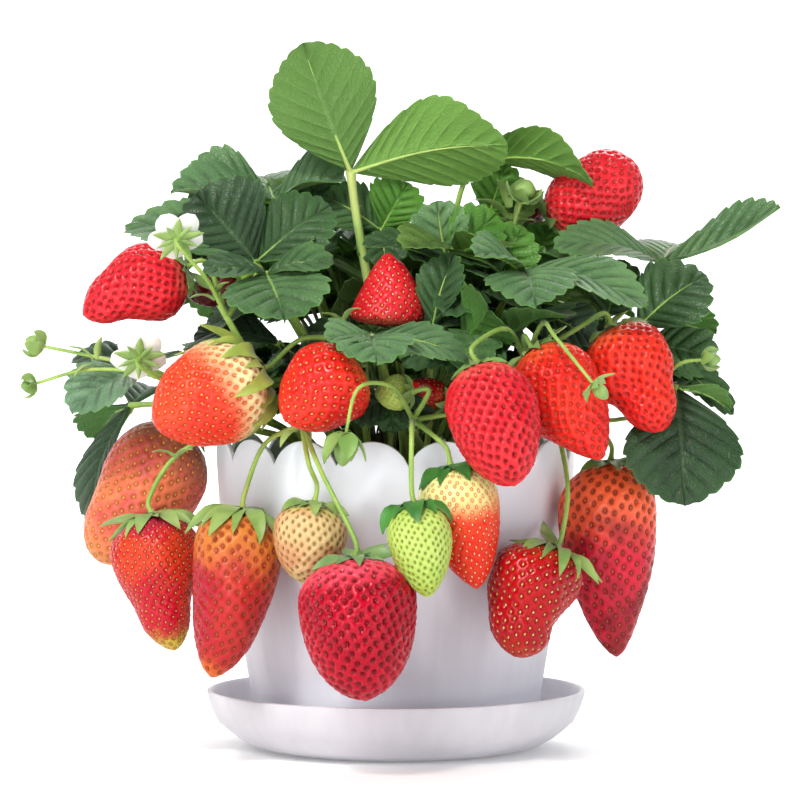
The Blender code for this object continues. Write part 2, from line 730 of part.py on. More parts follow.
def star(centre, face, inner, outer, waist, level, spread, points=5, lift=0.0, hole=0.0):
    """A flat star of pointed or broad lobes, with a hole in its middle where one is wanted."""
    middle, side, other, axis = flower_frame(centre, face)

    def at(radius, angle, height):
        flat = side * math.cos(angle) + other * math.sin(angle)
        return middle + flat * radius + axis * height

    plan = []
    for k in range(points):
        angle = math.tau * k / points
        half = spread * math.pi / points
        plan.append((inner, angle - math.pi / points, 0.0))
        plan.append((waist, angle - half, 0.6 * lift))
        plan.append((outer, angle, lift))
        plan.append((waist, angle + half, 0.6 * lift))
    rows = []
    for height in (level, level + FLOWER_PLATE):
        rows.append([at(radius, angle, height + up) for radius, angle, up in plan])
    if not hole:
        return lathe(rows)
    core = [
        [at(hole, angle, height) for _, angle, _ in plan]
        for height in (level + FLOWER_PLATE, level)
    ]
    corners = rows[0] + rows[1] + core[0] + core[1]
    count = len(plan)
    numbers = [list(range(i * count, (i + 1) * count)) for i in range(4)]
    faces = []
    for lower, upper in zip(numbers, numbers[1:] + numbers[:1]):
        faces += ring_faces(lower, upper)
    return mesh_of(corners, faces)


def make_flower(centre, face, width):
    """The green shapes of a flower, and the mesh of its white petals in one ring."""
    middle, _, _, axis = flower_frame(centre, face)
    sepals = star(centre, face, 2.6, 0.42 * width, 4.6, -1.6, 0.6, lift=-1.0)
    neck = tube([middle - axis * 1.4, middle + axis * 1.4], 1.5, 1.5)
    dome = spindle(middle + axis * 1.0, axis * 4.0, 3.4)
    petals = star(centre, face, 4.2, 0.5 * width, 0.42 * width, -0.4, 0.75, lift=1.4, hole=2.1)
    return [sepals, neck, dome], petals


def make_truss(name, truss):
    """The main stem, each branch with its calyx, and the buds and flowers, as one solid."""
    foot, surface = foot_points(truss.foot, truss.lean)
    out = (surface - foot).normalized() * 9.0
    main = [foot, *smooth_path([surface, surface + out, *truss.way])]
    fork = main[-1]
    rooted = main[-2].lerp(fork, 0.5)
    shapes = [tube(main, truss.stalk, truss.stalk * 0.75)]
    for berry_name, way in truss.branches:
        berry = BERRIES[berry_name]
        base, _, _, _, axis = berry_axes(berry)
        end = base - axis * (CALYX_LIFT + 0.4)
        path = smooth_path([rooted, *way, base - axis * PEDICEL_LEAD, end])
        shapes += [tube(path, *PEDICEL_RADII, BRANCH_SIDES), calyx_mesh(berry)]
    for base, reach, width, way in truss.buds:
        path = smooth_path([rooted, *way, Vector(base) + Vector(reach) * 0.3])
        shapes += [tube(path, *TWIG_RADII, BRANCH_SIDES), spindle(base, reach, width)]
    for centre, face, width, way in truss.flowers:
        green, petals = make_flower(centre, face, width)
        back = Vector(centre) - Vector(face).normalized() * 1.3
        lead = Vector(centre) - Vector(face).normalized() * 7.0
        path = smooth_path([rooted, *way, lead, back])
        shapes += [tube(path, *TWIG_RADII, BRANCH_SIDES), *green]
        add_object(name.replace("truss", "petals"), petals, "petal")
    return fuse(name, shapes, "stem")


def scallop_height(angle):
    """The rim's height at this angle: one arc for each scallop."""
    pitch = math.tau / SCALLOPS
    offset = (angle - math.radians(SCALLOP_TURN) + pitch / 2) % pitch - pitch / 2
    across = offset * POT_RIM_RADIUS
    return POT_RIM_Z - (SCALLOP_RADIUS - math.sqrt(SCALLOP_RADIUS**2 - across**2))


def wall_radius(height):
    """The pot's outer radius at a height."""
    if height < POT_COLLAR_Z:
        share = (height - POT_BASE_Z) / (POT_COLLAR_Z - POT_BASE_Z)
        return POT_BASE_RADIUS + share * (POT_COLLAR_RADIUS - POT_BASE_RADIUS)
    share = (height - POT_COLLAR_Z) / (POT_RIM_Z - POT_COLLAR_Z)
    return POT_COLLAR_RADIUS + share * (POT_RIM_RADIUS - POT_COLLAR_RADIUS)


def make_pot():
    """The pot: an outer and an inner wall that meet at the scalloped rim, and drain holes."""
    sides = SCALLOPS * SIDES_PER_SCALLOP
    turn = math.radians(SCALLOP_TURN)
    floor = POT_BASE_Z + POT_FLOOR

    def rim(inset):
        ring = []
        for i in range(sides):
            angle = turn + math.tau * i / sides
            height = scallop_height(angle)
            radius = wall_radius(height) - inset
            ring.append((radius * math.cos(angle), radius * math.sin(angle), height))
        return ring

    rings = [
        circle(POT_BASE_RADIUS, POT_BASE_Z, sides, turn),
        circle(POT_COLLAR_RADIUS, POT_COLLAR_Z, sides, turn),
        rim(0.0),
        rim(POT_WALL),
        circle(POT_COLLAR_RADIUS - POT_WALL, POT_COLLAR_Z, sides, turn),
        circle(wall_radius(floor) - POT_WALL, floor, sides, turn),
    ]
    pot = add_object("pot", lathe(rings), "white")
    holes = []
    for k in range(DRAIN_HOLES):
        angle = math.tau * k / DRAIN_HOLES
        centre = Vector((DRAIN_CIRCLE * math.cos(angle), DRAIN_CIRCLE * math.sin(angle), 0.0))
        ends = [centre + Vector((0, 0, POT_BASE_Z - 2)), centre + Vector((0, 0, floor + 2))]
        holes.append(tube(ends, DRAIN_RADIUS, DRAIN_RADIUS, 6))
    cut(pot, holes)


def make_saucer():
    """The saucer: a shallow dish with a flat foot."""
    profile = [
        (SAUCER_FOOT_RADIUS, 0.0),
        (59.0, 2.2),
        (71.0, 11.0),
        (SAUCER_RADIUS, SAUCER_HEIGHT),
        (SAUCER_RADIUS - 1.8, SAUCER_HEIGHT),
        (69.0, 12.2),
        (57.5, SAUCER_FLOOR),
    ]
    rings = [circle(radius, height, SAUCER_SIDES) for radius, height in profile]
    add_object("saucer", lathe(rings), "white")


def make_soil():
    """The soil, a clearance inside the pot, with a hole for the crown and for each stem."""
    turn = math.radians(SCALLOP_TURN)
    floor = POT_BASE_Z + POT_FLOOR + GAP
    inset = POT_WALL + 1.3 * GAP
    rings = [
        circle(wall_radius(floor) - inset, floor, SOIL_SIDES, turn),
        circle(POT_COLLAR_RADIUS - inset, POT_COLLAR_Z, SOIL_SIDES, turn),
        circle(wall_radius(SOIL_EDGE_Z) - inset, SOIL_EDGE_Z, SOIL_SIDES, turn),
        circle(40.0, SOIL_TOP_Z, SOIL_SIDES, turn),
    ]
    soil = add_object("soil", lathe(rings), "soil")
    holes = []
    stems = [(leaf, BRANCH_SIDES) for leaf in LEAVES.values()]
    stems += [(truss, STEM_SIDES) for truss in TRUSSES.values()]
    for stem, sides in stems:
        low, high = foot_points(stem.foot, stem.lean)
        deeper = low - (high - low).normalized() * GAP
        radius = stem.stalk + 1.5 * GAP
        holes.append(tube([deeper, high], radius, radius, sides))
    crown = [Vector((0, 0, SOIL_TOP_Z - STEM_DEPTH - GAP)), Vector((0, 0, SOIL_TOP_Z + 4))]
    holes.append(tube(crown, CROWN_RADIUS + 1.5 * GAP, CROWN_RADIUS + 1.5 * GAP, 10))
    cut(soil, holes)


def make_crown():
    """The crown: a knobbly stump standing in its own hole."""
    low = SOIL_TOP_Z - STEM_DEPTH
    rings = [circle(CROWN_RADIUS, low, 10), circle(CROWN_RADIUS, SOIL_TOP_Z + 1, 10)]
    for share, size in ((0.45, 0.95), (0.8, 0.75), (1.0, 0.35)):
        height = SOIL_TOP_Z + share * (CROWN_TOP_Z - SOIL_TOP_Z)
        ring = circle(CROWN_RADIUS * size, height, 10)
        rings.append(
            [(x, y, z + 1.6 * math.sin(2.4 * k)) for k, (x, y, z) in enumerate(ring)]
        )
    add_object("crown", lathe(rings), "bark")


def main():
    """Build every node."""
    clear_scene()
    make_saucer()
    make_pot()
    make_soil()
    make_crown()
    for name, leaf in LEAVES.items():
        make_leaf(name, leaf)
    for name, berry in BERRIES.items():
        add_object(name, berry_mesh(berry), berry.colour)
    for name, truss in TRUSSES.items():
        make_truss(name, truss)


main()
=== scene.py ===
"""A strawberry plant in fruit in a scalloped white pot on its saucer, with its finished looks.

The frame: the origin is the middle of the saucer's underside, +Z is up and the front is -Y.
Shapes are worked out in millimetres, and MM turns them into Blender's metres.
"""

from __future__ import annotations

import sys

import logging
import math
from dataclasses import dataclass, field
from enum import Enum
from functools import cache, cached_property

import bpy
import numpy as np
from mathutils import Euler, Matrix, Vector
from mathutils.geometry import delaunay_2d_cdt
from mathutils.kdtree import KDTree

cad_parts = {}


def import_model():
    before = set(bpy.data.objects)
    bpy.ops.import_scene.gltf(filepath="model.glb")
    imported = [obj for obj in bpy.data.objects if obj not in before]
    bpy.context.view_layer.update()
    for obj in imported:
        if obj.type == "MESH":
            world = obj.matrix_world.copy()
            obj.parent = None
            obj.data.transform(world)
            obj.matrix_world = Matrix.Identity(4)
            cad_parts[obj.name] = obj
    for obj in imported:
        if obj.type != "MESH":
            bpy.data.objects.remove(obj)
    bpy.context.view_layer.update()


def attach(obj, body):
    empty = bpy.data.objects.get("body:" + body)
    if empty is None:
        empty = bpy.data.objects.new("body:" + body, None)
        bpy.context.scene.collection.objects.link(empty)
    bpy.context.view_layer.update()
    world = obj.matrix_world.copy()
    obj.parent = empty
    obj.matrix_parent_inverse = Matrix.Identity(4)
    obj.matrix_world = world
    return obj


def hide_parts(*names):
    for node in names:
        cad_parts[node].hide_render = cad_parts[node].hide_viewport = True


LOG = logging.getLogger("strawberry")
MM = 0.001
GOLDEN_ANGLE = math.pi * (3.0 - math.sqrt(5.0))

Colour = tuple[float, float, float]
Place = tuple[float, float, float]
Socket = bpy.types.NodeSocket


# --- Small helpers ---


def smoothstep(low: float, high: float, value: np.ndarray) -> np.ndarray:
    """A smooth rise from 0 at low to 1 at high.

    Args:
        low: where the rise starts.
        high: where it ends.
        value: the numbers to look up.

    Returns:
        The risen numbers, from 0 to 1.
    """
    share = np.clip((value - low) / (high - low), 0.0, 1.0)
    return share * share * (3.0 - 2.0 * share)


def unit(vectors: np.ndarray) -> np.ndarray:
    """The rows scaled to length 1."""
    return vectors / np.maximum(np.linalg.norm(vectors, axis=-1, keepdims=True), 1e-12)


def array(place: Place | Vector) -> np.ndarray:
    """A place as numbers."""
    return np.array(tuple(place), float)


def select_none() -> None:
    """Leave nothing selected or active."""
    for obj in bpy.context.selected_objects:
        obj.select_set(False)
    bpy.context.view_layer.objects.active = None


def smooth_path(points: list, steps: int) -> np.ndarray:
    """A Catmull-Rom curve through the points.

    Args:
        points: the points it passes.
        steps: how many steps lie between two of them.

    Returns:
        The curve's points, one a row.
    """
    points = [array(point) for point in points]
    ends = [points[0] * 2 - points[1], *points, points[-1] * 2 - points[-2]]
    path = []
    for a, b, c, d in zip(ends, ends[1:], ends[2:], ends[3:]):
        for k in range(steps):
            t = k / steps
            curve = b * 2 + (c - a) * t + (a * 2 - b * 5 + c * 4 - d) * t * t
            path.append(0.5 * (curve + (b * 3 - a - c * 3 + d) * t * t * t))
    return np.array([*path, points[-1]])


def around(side: np.ndarray, other: np.ndarray, angles: np.ndarray) -> np.ndarray:
    """The directions at these angles from side towards other, one a row."""
    return np.outer(np.cos(angles), side) + np.outer(np.sin(angles), other)


def bearing(degrees: float) -> np.ndarray:
    """The level direction at this many degrees from +X."""
    return np.array((math.cos(math.radians(degrees)), math.sin(math.radians(degrees)), 0.0))


# --- Finishes ---


class Graph:
    """A material's nodes, with short ways to add and join them."""

    def __init__(self, name: str) -> None:
        """Start a material of this name with one principled shader."""
        self.material = bpy.data.materials.new(name)
        self.material.use_nodes = True
        self.nodes = self.material.node_tree.nodes
        self.links = self.material.node_tree.links
        self.shader = self.nodes["Principled BSDF"]

    def put(self, socket: Socket, value: object) -> None:
        """Join a socket to a value: a link from another socket, or a constant."""
        if isinstance(value, Socket):
            self.links.new(value, socket)
        elif isinstance(value, tuple) and len(value) == 3 and socket.type == "RGBA":
            socket.default_value = (*value, 1.0)
        else:
            socket.default_value = value

    def sum(self, operation: str, *values: object, clamp: bool = False) -> Socket:
        """A Math node's result."""
        node = self.nodes.new("ShaderNodeMath")
        node.operation = operation
        node.use_clamp = clamp
        for socket, value in zip(node.inputs, values):
            self.put(socket, value)
        return node.outputs[0]

    def times(self, first: object, second: object) -> Socket:
        """The product of two numbers."""
        return self.sum("MULTIPLY", first, second)

    def mix(self, share: object, first: object, second: object) -> Socket:
        """Two colours mixed by a share."""
        node = self.nodes.new("ShaderNodeMix")
        node.data_type = "RGBA"
        for number, value in ((0, share), (6, first), (7, second)):
            self.put(node.inputs[number], value)
        return node.outputs[2]

    def step(self, value: object, low: float, high: float) -> Socket:
        """A smooth rise from 0 to 1 between low and high, or a fall where low is the higher."""
        node = self.nodes.new("ShaderNodeMapRange")
        node.interpolation_type = "SMOOTHSTEP"
        turned = low > high
        for name, number in (("From Min", min(low, high)), ("From Max", max(low, high))):
            node.inputs[name].default_value = number
        node.inputs["To Min"].default_value = 1.0 if turned else 0.0
        node.inputs["To Max"].default_value = 0.0 if turned else 1.0
        self.put(node.inputs["Value"], value)
        return node.outputs[0]

    def place(self, scale: Place = (1.0, 1.0, 1.0), turn: Place = (0.0, 0.0, 0.0)) -> Socket:
        """Object coordinates in metres, stretched and turned."""
        coordinates = self.nodes.new("ShaderNodeTexCoord")
        mapping = self.nodes.new("ShaderNodeMapping")
        mapping.inputs["Scale"].default_value = scale
        mapping.inputs["Rotation"].default_value = turn
        self.links.new(coordinates.outputs["Object"], mapping.inputs["Vector"])
        return mapping.outputs[0]

    def noise(
        self, scale: float, vector: object = None, detail: float = 3.0, roughness: float = 0.5
    ) -> Socket:
        """Cloudy noise from 0 to 1."""
        node = self.nodes.new("ShaderNodeTexNoise")
        node.inputs["Scale"].default_value = scale
        node.inputs["Detail"].default_value = detail
        node.inputs["Roughness"].default_value = roughness
        self.put(node.inputs["Vector"], self.place() if vector is None else vector)
        return node.outputs[0]

    def cells(self, scale: float, vector: object, feature: str) -> Socket:
        """A Voronoi pattern's distance."""
        node = self.nodes.new("ShaderNodeTexVoronoi")
        node.feature = feature
        node.inputs["Scale"].default_value = scale
        self.put(node.inputs["Vector"], vector)
        return node.outputs["Distance"]

    def mark(self, name: str) -> Socket:
        """A number that the mesh carries at each point."""
        node = self.nodes.new("ShaderNodeAttribute")
        node.attribute_name = name
        return node.outputs["Fac"]

    def spot(self) -> tuple[Socket, Socket, Socket]:
        """The blade map as a vector and as its two numbers."""
        node = self.nodes.new("ShaderNodeUVMap")
        node.uv_map = "blade"
        parts = self.nodes.new("ShaderNodeSeparateXYZ")
        self.links.new(node.outputs[0], parts.inputs[0])
        return node.outputs[0], parts.outputs[0], parts.outputs[1]

    def bump(self, height: object, distance: float, strength: float = 1.0) -> None:
        """Raise the surface by a height, over a distance in metres."""
        node = self.nodes.new("ShaderNodeBump")
        node.inputs["Distance"].default_value = distance
        node.inputs["Strength"].default_value = strength
        self.put(node.inputs["Height"], height)
        self.put(self.shader.inputs["Normal"], node.outputs[0])

    def dress(self, **values: object) -> bpy.types.Material:
        """Set the shader's sockets, named with _ for a space, and give back the material."""
        for name, value in values.items():
            self.put(self.shader.inputs[name.replace("_", " ")], value)
        return self.material


@dataclass(frozen=True)
class PlasticFinish:
    """White satin plastic with faint upright streaks, and painted light at a collar and a foot.

    Collar and foot are the heights in metres at which the painted light is half way in.
    """

    name: str
    light: Colour
    shade: Colour
    roughness: float = 0.48
    painted_light: Colour | None = None
    collar: float = 0.095
    foot: float = 0.026

    def material(self) -> bpy.types.Material:
        """The finish as a material."""
        graph = Graph(self.name)
        streaks = graph.noise(1.0, graph.place((170.0, 170.0, 7.0)), 2.0)
        clouds = graph.noise(14.0, graph.place((1.0, 1.0, 0.6)), 2.0)
        share = graph.sum("ADD", graph.times(streaks, 0.6), graph.times(clouds, 0.5))
        colour = graph.mix(graph.step(share, 0.35, 0.75), self.light, self.shade)
        # Painted light: the collar and the foot turn paler, to lift the shade that the fruit and leaves cast
        # on the pot there.
        if self.painted_light:
            parts = graph.nodes.new("ShaderNodeSeparateXYZ")
            graph.put(parts.inputs[0], graph.place())
            upper = graph.step(parts.outputs[2], self.collar - 0.02, self.collar + 0.02)
            lower = graph.step(parts.outputs[2], self.foot + 0.01, self.foot - 0.01)
            colour = graph.mix(graph.sum("ADD", upper, lower, clamp=True), colour, self.painted_light)
        rough = graph.sum("MULTIPLY_ADD", streaks, 0.1, self.roughness - 0.04)
        graph.bump(graph.noise(900.0, None, 2.0), 0.00004, 0.35)
        return graph.dress(
            Base_Color=colour, Roughness=rough, IOR=1.47, Coat_Weight=0.06, Coat_Roughness=0.3
        )


@dataclass(frozen=True)
class EarthFinish:
    """Moist crumbly soil or rough bark: two browns, pale crumbs and a broken surface."""

    name: str
    dark: Colour
    light: Colour
    grain: float
    height: float

    def material(self) -> bpy.types.Material:
        """The finish as a material."""
        graph = Graph(self.name)
        coarse = graph.noise(self.grain, None, 6.0, 0.65)
        fine = graph.noise(self.grain * 5.0, None, 4.0, 0.6)
        colour = graph.mix(graph.step(coarse, 0.38, 0.68), self.dark, self.light)
        crumbs = graph.step(graph.noise(self.grain * 2.6, None, 2.0), 0.62, 0.7)
        colour = graph.mix(graph.times(crumbs, 0.35), colour, tuple(2.2 * c for c in self.light))
        graph.bump(graph.sum("ADD", coarse, graph.times(fine, 0.5)), self.height)
        return graph.dress(Base_Color=colour, Roughness=graph.sum("MULTIPLY_ADD", fine, 0.3, 0.65))


@dataclass(frozen=True)
class LeafFinish:
    """A strawberry leaf: sunk pale veins, a finer net between them, painted shade in the valleys beside the
    veins, and a paler underside.
    """

    name: str
    upper: Colour
    deep: Colour
    vein: Colour
    under: Colour
    sheen: float = 0.12

    def material(self) -> bpy.types.Material:
        """The finish as a material."""
        graph = Graph(self.name)
        spot, along, across = graph.spot()
        across = graph.sum("ABSOLUTE", across)
        phase = graph.sum(
            "ABSOLUTE", graph.sum("SUBTRACT", graph.sum("FRACT", graph.sum("ADD", along, 0.5)), 0.5)
        )
        side = graph.step(graph.sum("ADD", phase, graph.times(across, 0.03)), 0.075, 0.02)
        rib = graph.step(across, 0.06, 0.015)
        line = graph.sum("MAXIMUM", graph.times(side, 0.16), rib)
        veins = graph.sum("MAXIMUM", graph.times(side, 0.62), rib)
        stretched = graph.nodes.new("ShaderNodeMapping")
        stretched.inputs["Scale"].default_value = (1.0, 3.4, 1.0)
        graph.put(stretched.inputs["Vector"], spot)
        net = graph.cells(3.1, stretched.outputs[0], "DISTANCE_TO_EDGE")
        net = graph.step(net, 0.09, 0.0)
        clouds = graph.noise(55.0, None, 4.0, 0.6)
        blade = graph.mix(graph.step(clouds, 0.34, 0.66), self.deep, self.upper)
        # Painted shade: the blade darkens in the valleys beside the side veins, where the pleats would be
        # shaded.
        painted_valley_shade = graph.times(graph.step(phase, 0.26, 0.02), graph.step(across, 1.0, 0.6))
        blade = graph.mix(graph.times(painted_valley_shade, 0.8), blade, tuple(0.66 * c for c in self.deep))
        blade = graph.mix(graph.times(net, 0.22), blade, self.vein)
        top = graph.mix(graph.times(line, 0.6), blade, self.vein)
        low = graph.mix(graph.times(clouds, 0.35), self.under, self.upper)
        low = graph.mix(graph.times(net, 0.22), low, self.vein)
        pale = tuple(min(1.0, 1.45 * c + 0.02) for c in self.under)
        low = graph.mix(graph.times(veins, 0.62), low, pale)
        under = graph.mark("under")
        colour = graph.mix(under, top, low)
        colour = graph.mix(graph.times(graph.step(across, 0.955, 1.0), 0.35), colour, pale)
        rough = graph.sum("MULTIPLY_ADD", under, 0.2, graph.sum("MULTIPLY_ADD", clouds, 0.16, 0.36))
        relief = graph.sum("SUBTRACT", graph.times(clouds, 0.5), graph.times(net, 0.6))
        graph.bump(relief, 0.00032, 0.9)
        return graph.dress(
            Base_Color=colour, Roughness=rough, Specular_IOR_Level=0.35, Sheen_Weight=self.sheen,
            Sheen_Roughness=0.45
        )


@dataclass(frozen=True)
class StemFinish:
    """Fresh green stems, sepals and buds, with a warmer flush here and there."""

    name: str
    light: Colour
    deep: Colour
    flush: Colour
    flushed: float = 0.62

    def material(self) -> bpy.types.Material:
        """The finish as a material."""
        graph = Graph(self.name)
        clouds = graph.noise(90.0, None, 3.0)
        broad = graph.noise(22.0, graph.place(turn=(0.4, 0.2, 0.9)), 2.0)
        colour = graph.mix(graph.step(clouds, 0.35, 0.65), self.deep, self.light)
        colour = graph.mix(graph.step(broad, self.flushed - 0.06, self.flushed + 0.08), colour, self.flush)
        colour = graph.mix(graph.mark("under"), colour, tuple(min(1.0, 1.25 * c + 0.02) for c in self.light))
        graph.bump(graph.noise(1400.0, graph.place((1.0, 1.0, 0.25)), 2.0), 0.00012, 0.6)
        return graph.dress(Base_Color=colour, Roughness=0.46, Sheen_Weight=0.15, Sheen_Roughness=0.4)


@dataclass(frozen=True)
class FruitFinish:
    """Strawberry skin: its colours from the shoulder to the tip, and darker pits with paler ridges between
    them, partly the skin's own colour and partly painted shade and painted highlight.
    """

    name: str
    shoulder: Colour
    body: Colour
    patch: Colour
    tip: Colour
    pit: Colour
    shoulder_end: float = 0.12
    tip_start: float = 0.95
    gloss: float = 0.27

    def material(self) -> bpy.types.Material:
        """The finish as a material."""
        graph = Graph(self.name)
        along = graph.mark("along")
        broad = graph.noise(44.0, graph.place(turn=(0.3, 0.8, 0.1)), 4.0, 0.6)
        fine = graph.noise(260.0, None, 3.0)
        wander = graph.sum("MULTIPLY_ADD", graph.sum("SUBTRACT", broad, 0.5), 0.5, along)
        body = graph.mix(graph.step(broad, 0.4, 0.62), self.body, self.patch)
        end = self.shoulder_end
        colour = graph.mix(graph.step(wander, end * 1.35, end * 0.45), body, self.shoulder)
        start = self.tip_start
        colour = graph.mix(graph.step(wander, start - 0.05, start + 0.09), colour, self.tip)
        light = tuple(min(1.0, 1.12 * c + 0.002) for c in self.body)
        colour = graph.mix(graph.times(graph.step(fine, 0.5, 0.75), 0.18), colour, light)
        # Darker pits and paler ridges: partly the skin's own colour, partly painted shade in the pits and a
        # painted highlight on the ridges between them.
        near = graph.mark("pit")
        ridge = tuple(min(1.0, c * k + 0.004) for c, k in zip(self.body, (1.15, 1.6, 1.6)))
        colour = graph.mix(graph.times(graph.step(near, 0.3, 0.06), 0.3), colour, ridge)
        pit = graph.step(near, 0.36, 0.8)
        colour = graph.mix(graph.times(pit, 0.8), colour, self.pit)
        rough = graph.sum("MULTIPLY_ADD", pit, 0.18, graph.sum("MULTIPLY_ADD", fine, 0.1, self.gloss - 0.05))
        graph.bump(fine, 0.0001, 0.5)
        return graph.dress(
            Base_Color=colour,
            Roughness=rough,
            Specular_IOR_Level=0.12,
            Coat_Weight=0.24,
            Coat_Roughness=0.09,
            Subsurface_Weight=0.03,
            Subsurface_Radius=(0.006, 0.0016, 0.001),
            Subsurface_Scale=1.0,
        )


@dataclass(frozen=True)
class PlainFinish:
    """One matter in two close shades: seeds, petals, pollen or hairs."""

    name: str
    light: Colour
    deep: Colour
    grain: float = 300.0
    roughness: float = 0.5
    sheen: float = 0.0

    def material(self) -> bpy.types.Material:
        """The finish as a material."""
        graph = Graph(self.name)
        clouds = graph.noise(self.grain, None, 3.0)
        colour = graph.mix(graph.step(clouds, 0.35, 0.65), self.deep, self.light)
        graph.bump(clouds, 0.0001, 0.4)
        return graph.dress(Base_Color=colour, Roughness=self.roughness, Sheen_Weight=self.sheen)


@dataclass(frozen=True)
class SweepFinish:
    """The near-white backdrop, which glows further out as if it had lights of its own."""

    name: str
    colour: Colour
    glow: float
    starts: float = -0.35
    full: float = 1.2

    def material(self) -> bpy.types.Material:
        """The finish as a material."""
        graph = Graph(self.name)
        parts = graph.nodes.new("ShaderNodeSeparateXYZ")
        graph.put(parts.inputs[0], graph.place())
        squares = (graph.times(parts.outputs[axis], parts.outputs[axis]) for axis in (0, 1))
        share = graph.step(graph.sum("SQRT", graph.sum("ADD", *squares)), self.starts, self.full)
        glow = graph.times(share, self.glow)
        return graph.dress(
            Base_Color=self.colour, Roughness=0.8, Emission_Color=(1.0, 1.0, 1.0), Emission_Strength=glow
        )


class Ripeness(Enum):
    """How each fruit is coloured."""

    SUNSET = FruitFinish(
        "fruit_sunset", (0.34, 0.1, 0.06), (0.86, 0.21, 0.09), (0.6, 0.085, 0.075), (0.64, 0.22, 0.055),
        (0.46, 0.09, 0.02), 0.24, 0.86, 0.36,
    )
    CRIMSON_GOLD = FruitFinish(
        "fruit_crimson_gold", (0.46, 0.02, 0.06), (0.52, 0.008, 0.024), (0.66, 0.05, 0.016),
        (0.56, 0.44, 0.05), (0.26, 0.003, 0.008), 0.14, 0.84, 0.26,
    )
    ORANGE_CRIMSON = FruitFinish(
        "fruit_orange_crimson", (0.6, 0.2, 0.035), (0.52, 0.024, 0.024), (0.42, 0.008, 0.03),
        (0.7, 0.15, 0.02), (0.3, 0.025, 0.004), 0.34, 0.9, 0.32,
    )
    CREAM = FruitFinish(
        "fruit_cream", (0.54, 0.52, 0.14), (0.7, 0.5, 0.24), (0.62, 0.28, 0.14), (0.6, 0.48, 0.13),
        (0.3, 0.17, 0.03), 0.12, 0.92, 0.38,
    )
    # The pale pink shoulder is partly the fruit's own paler top and partly a painted highlight.
    GLOSSY = FruitFinish(
        "fruit_glossy", (0.96, 0.09, 0.14), (0.5, 0.001, 0.018), (0.37, 0.001, 0.014), (0.4, 0.002, 0.014),
        (0.15, 0.0, 0.004), 0.2, 0.97, 0.2,
    )
    GREEN = FruitFinish(
        "fruit_green", (0.36, 0.56, 0.09), (0.5, 0.62, 0.15), (0.42, 0.58, 0.11), (0.44, 0.56, 0.09),
        (0.2, 0.3, 0.025), 0.1, 0.92, 0.36,
    )
    BLUSHING = FruitFinish(
        "fruit_blushing", (0.76, 0.88, 0.34), (0.67, 0.02, 0.004), (0.72, 0.06, 0.01), (0.56, 0.012, 0.004),
        (0.6, 0.03, 0.004), 0.36, 0.97, 0.28,
    )
    GARNET = FruitFinish(
        "fruit_garnet", (0.56, 0.045, 0.012), (0.44, 0.005, 0.008), (0.36, 0.003, 0.009),
        (0.44, 0.025, 0.008), (0.2, 0.002, 0.002), 0.16, 0.92, 0.22,
    )
    # The orange-red shoulder is the fruit's own colour, brightened as painted light to make up for the shade
    # on its top.
    PLUM = FruitFinish(
        "fruit_plum", (1.0, 0.15, 0.05), (0.6, 0.012, 0.036), (0.25, 0.005, 0.016), (0.22, 0.008, 0.01),
        (0.16, 0.006, 0.004), 0.34, 0.95, 0.3,
    )
    PALE_SHOULDER = FruitFinish(
        "fruit_pale_shoulder", (0.84, 0.8, 0.4), (0.76, 0.064, 0.022), (0.7, 0.03, 0.014),
        (0.66, 0.016, 0.01), (0.56, 0.02, 0.004), 0.42, 0.97, 0.28,
    )
    SCARLET = FruitFinish(
        "fruit_scarlet", (0.8, 0.1, 0.03), (0.73, 0.028, 0.012), (0.62, 0.012, 0.01), (0.62, 0.01, 0.008),
        (0.44, 0.008, 0.004), 0.14, 0.98, 0.24,
    )
    ROSE = FruitFinish(
        "fruit_rose", (0.84, 0.1, 0.08), (0.72, 0.024, 0.034), (0.62, 0.012, 0.022), (0.64, 0.01, 0.013),
        (0.33, 0.0, 0.004), 0.12, 0.98, 0.22,
    )
    # Painted shade: the near-black maroon of fruit that lie in shadow deep in the foliage.
    DARK = FruitFinish(
        "fruit_dark", (0.13, 0.008, 0.006), (0.075, 0.003, 0.004), (0.12, 0.004, 0.004), (0.09, 0.003, 0.004),
        (0.02, 0.001, 0.001), 0.1, 0.98, 0.38,
    )


class Seeds(Enum):
    """The colour of the seeds in the pits."""

    GOLD = PlainFinish("seed_gold", (0.82, 0.58, 0.12), (0.62, 0.34, 0.05), 700.0, 0.4)
    BRIGHT = PlainFinish("seed_bright", (0.9, 0.74, 0.22), (0.78, 0.52, 0.1), 700.0, 0.4)
    PALE = PlainFinish("seed_pale", (0.92, 0.84, 0.5), (0.8, 0.66, 0.3), 700.0, 0.4)
    RUSSET = PlainFinish("seed_russet", (0.56, 0.13, 0.04), (0.3, 0.05, 0.015), 700.0, 0.4)
    OLIVE = PlainFinish("seed_olive", (0.3, 0.26, 0.06), (0.16, 0.11, 0.03), 700.0, 0.45)
    WINE = PlainFinish("seed_wine", (0.36, 0.022, 0.012), (0.2, 0.008, 0.007), 700.0, 0.4)
    BLACK = PlainFinish("seed_black", (0.05, 0.012, 0.01), (0.02, 0.006, 0.006), 700.0, 0.5)


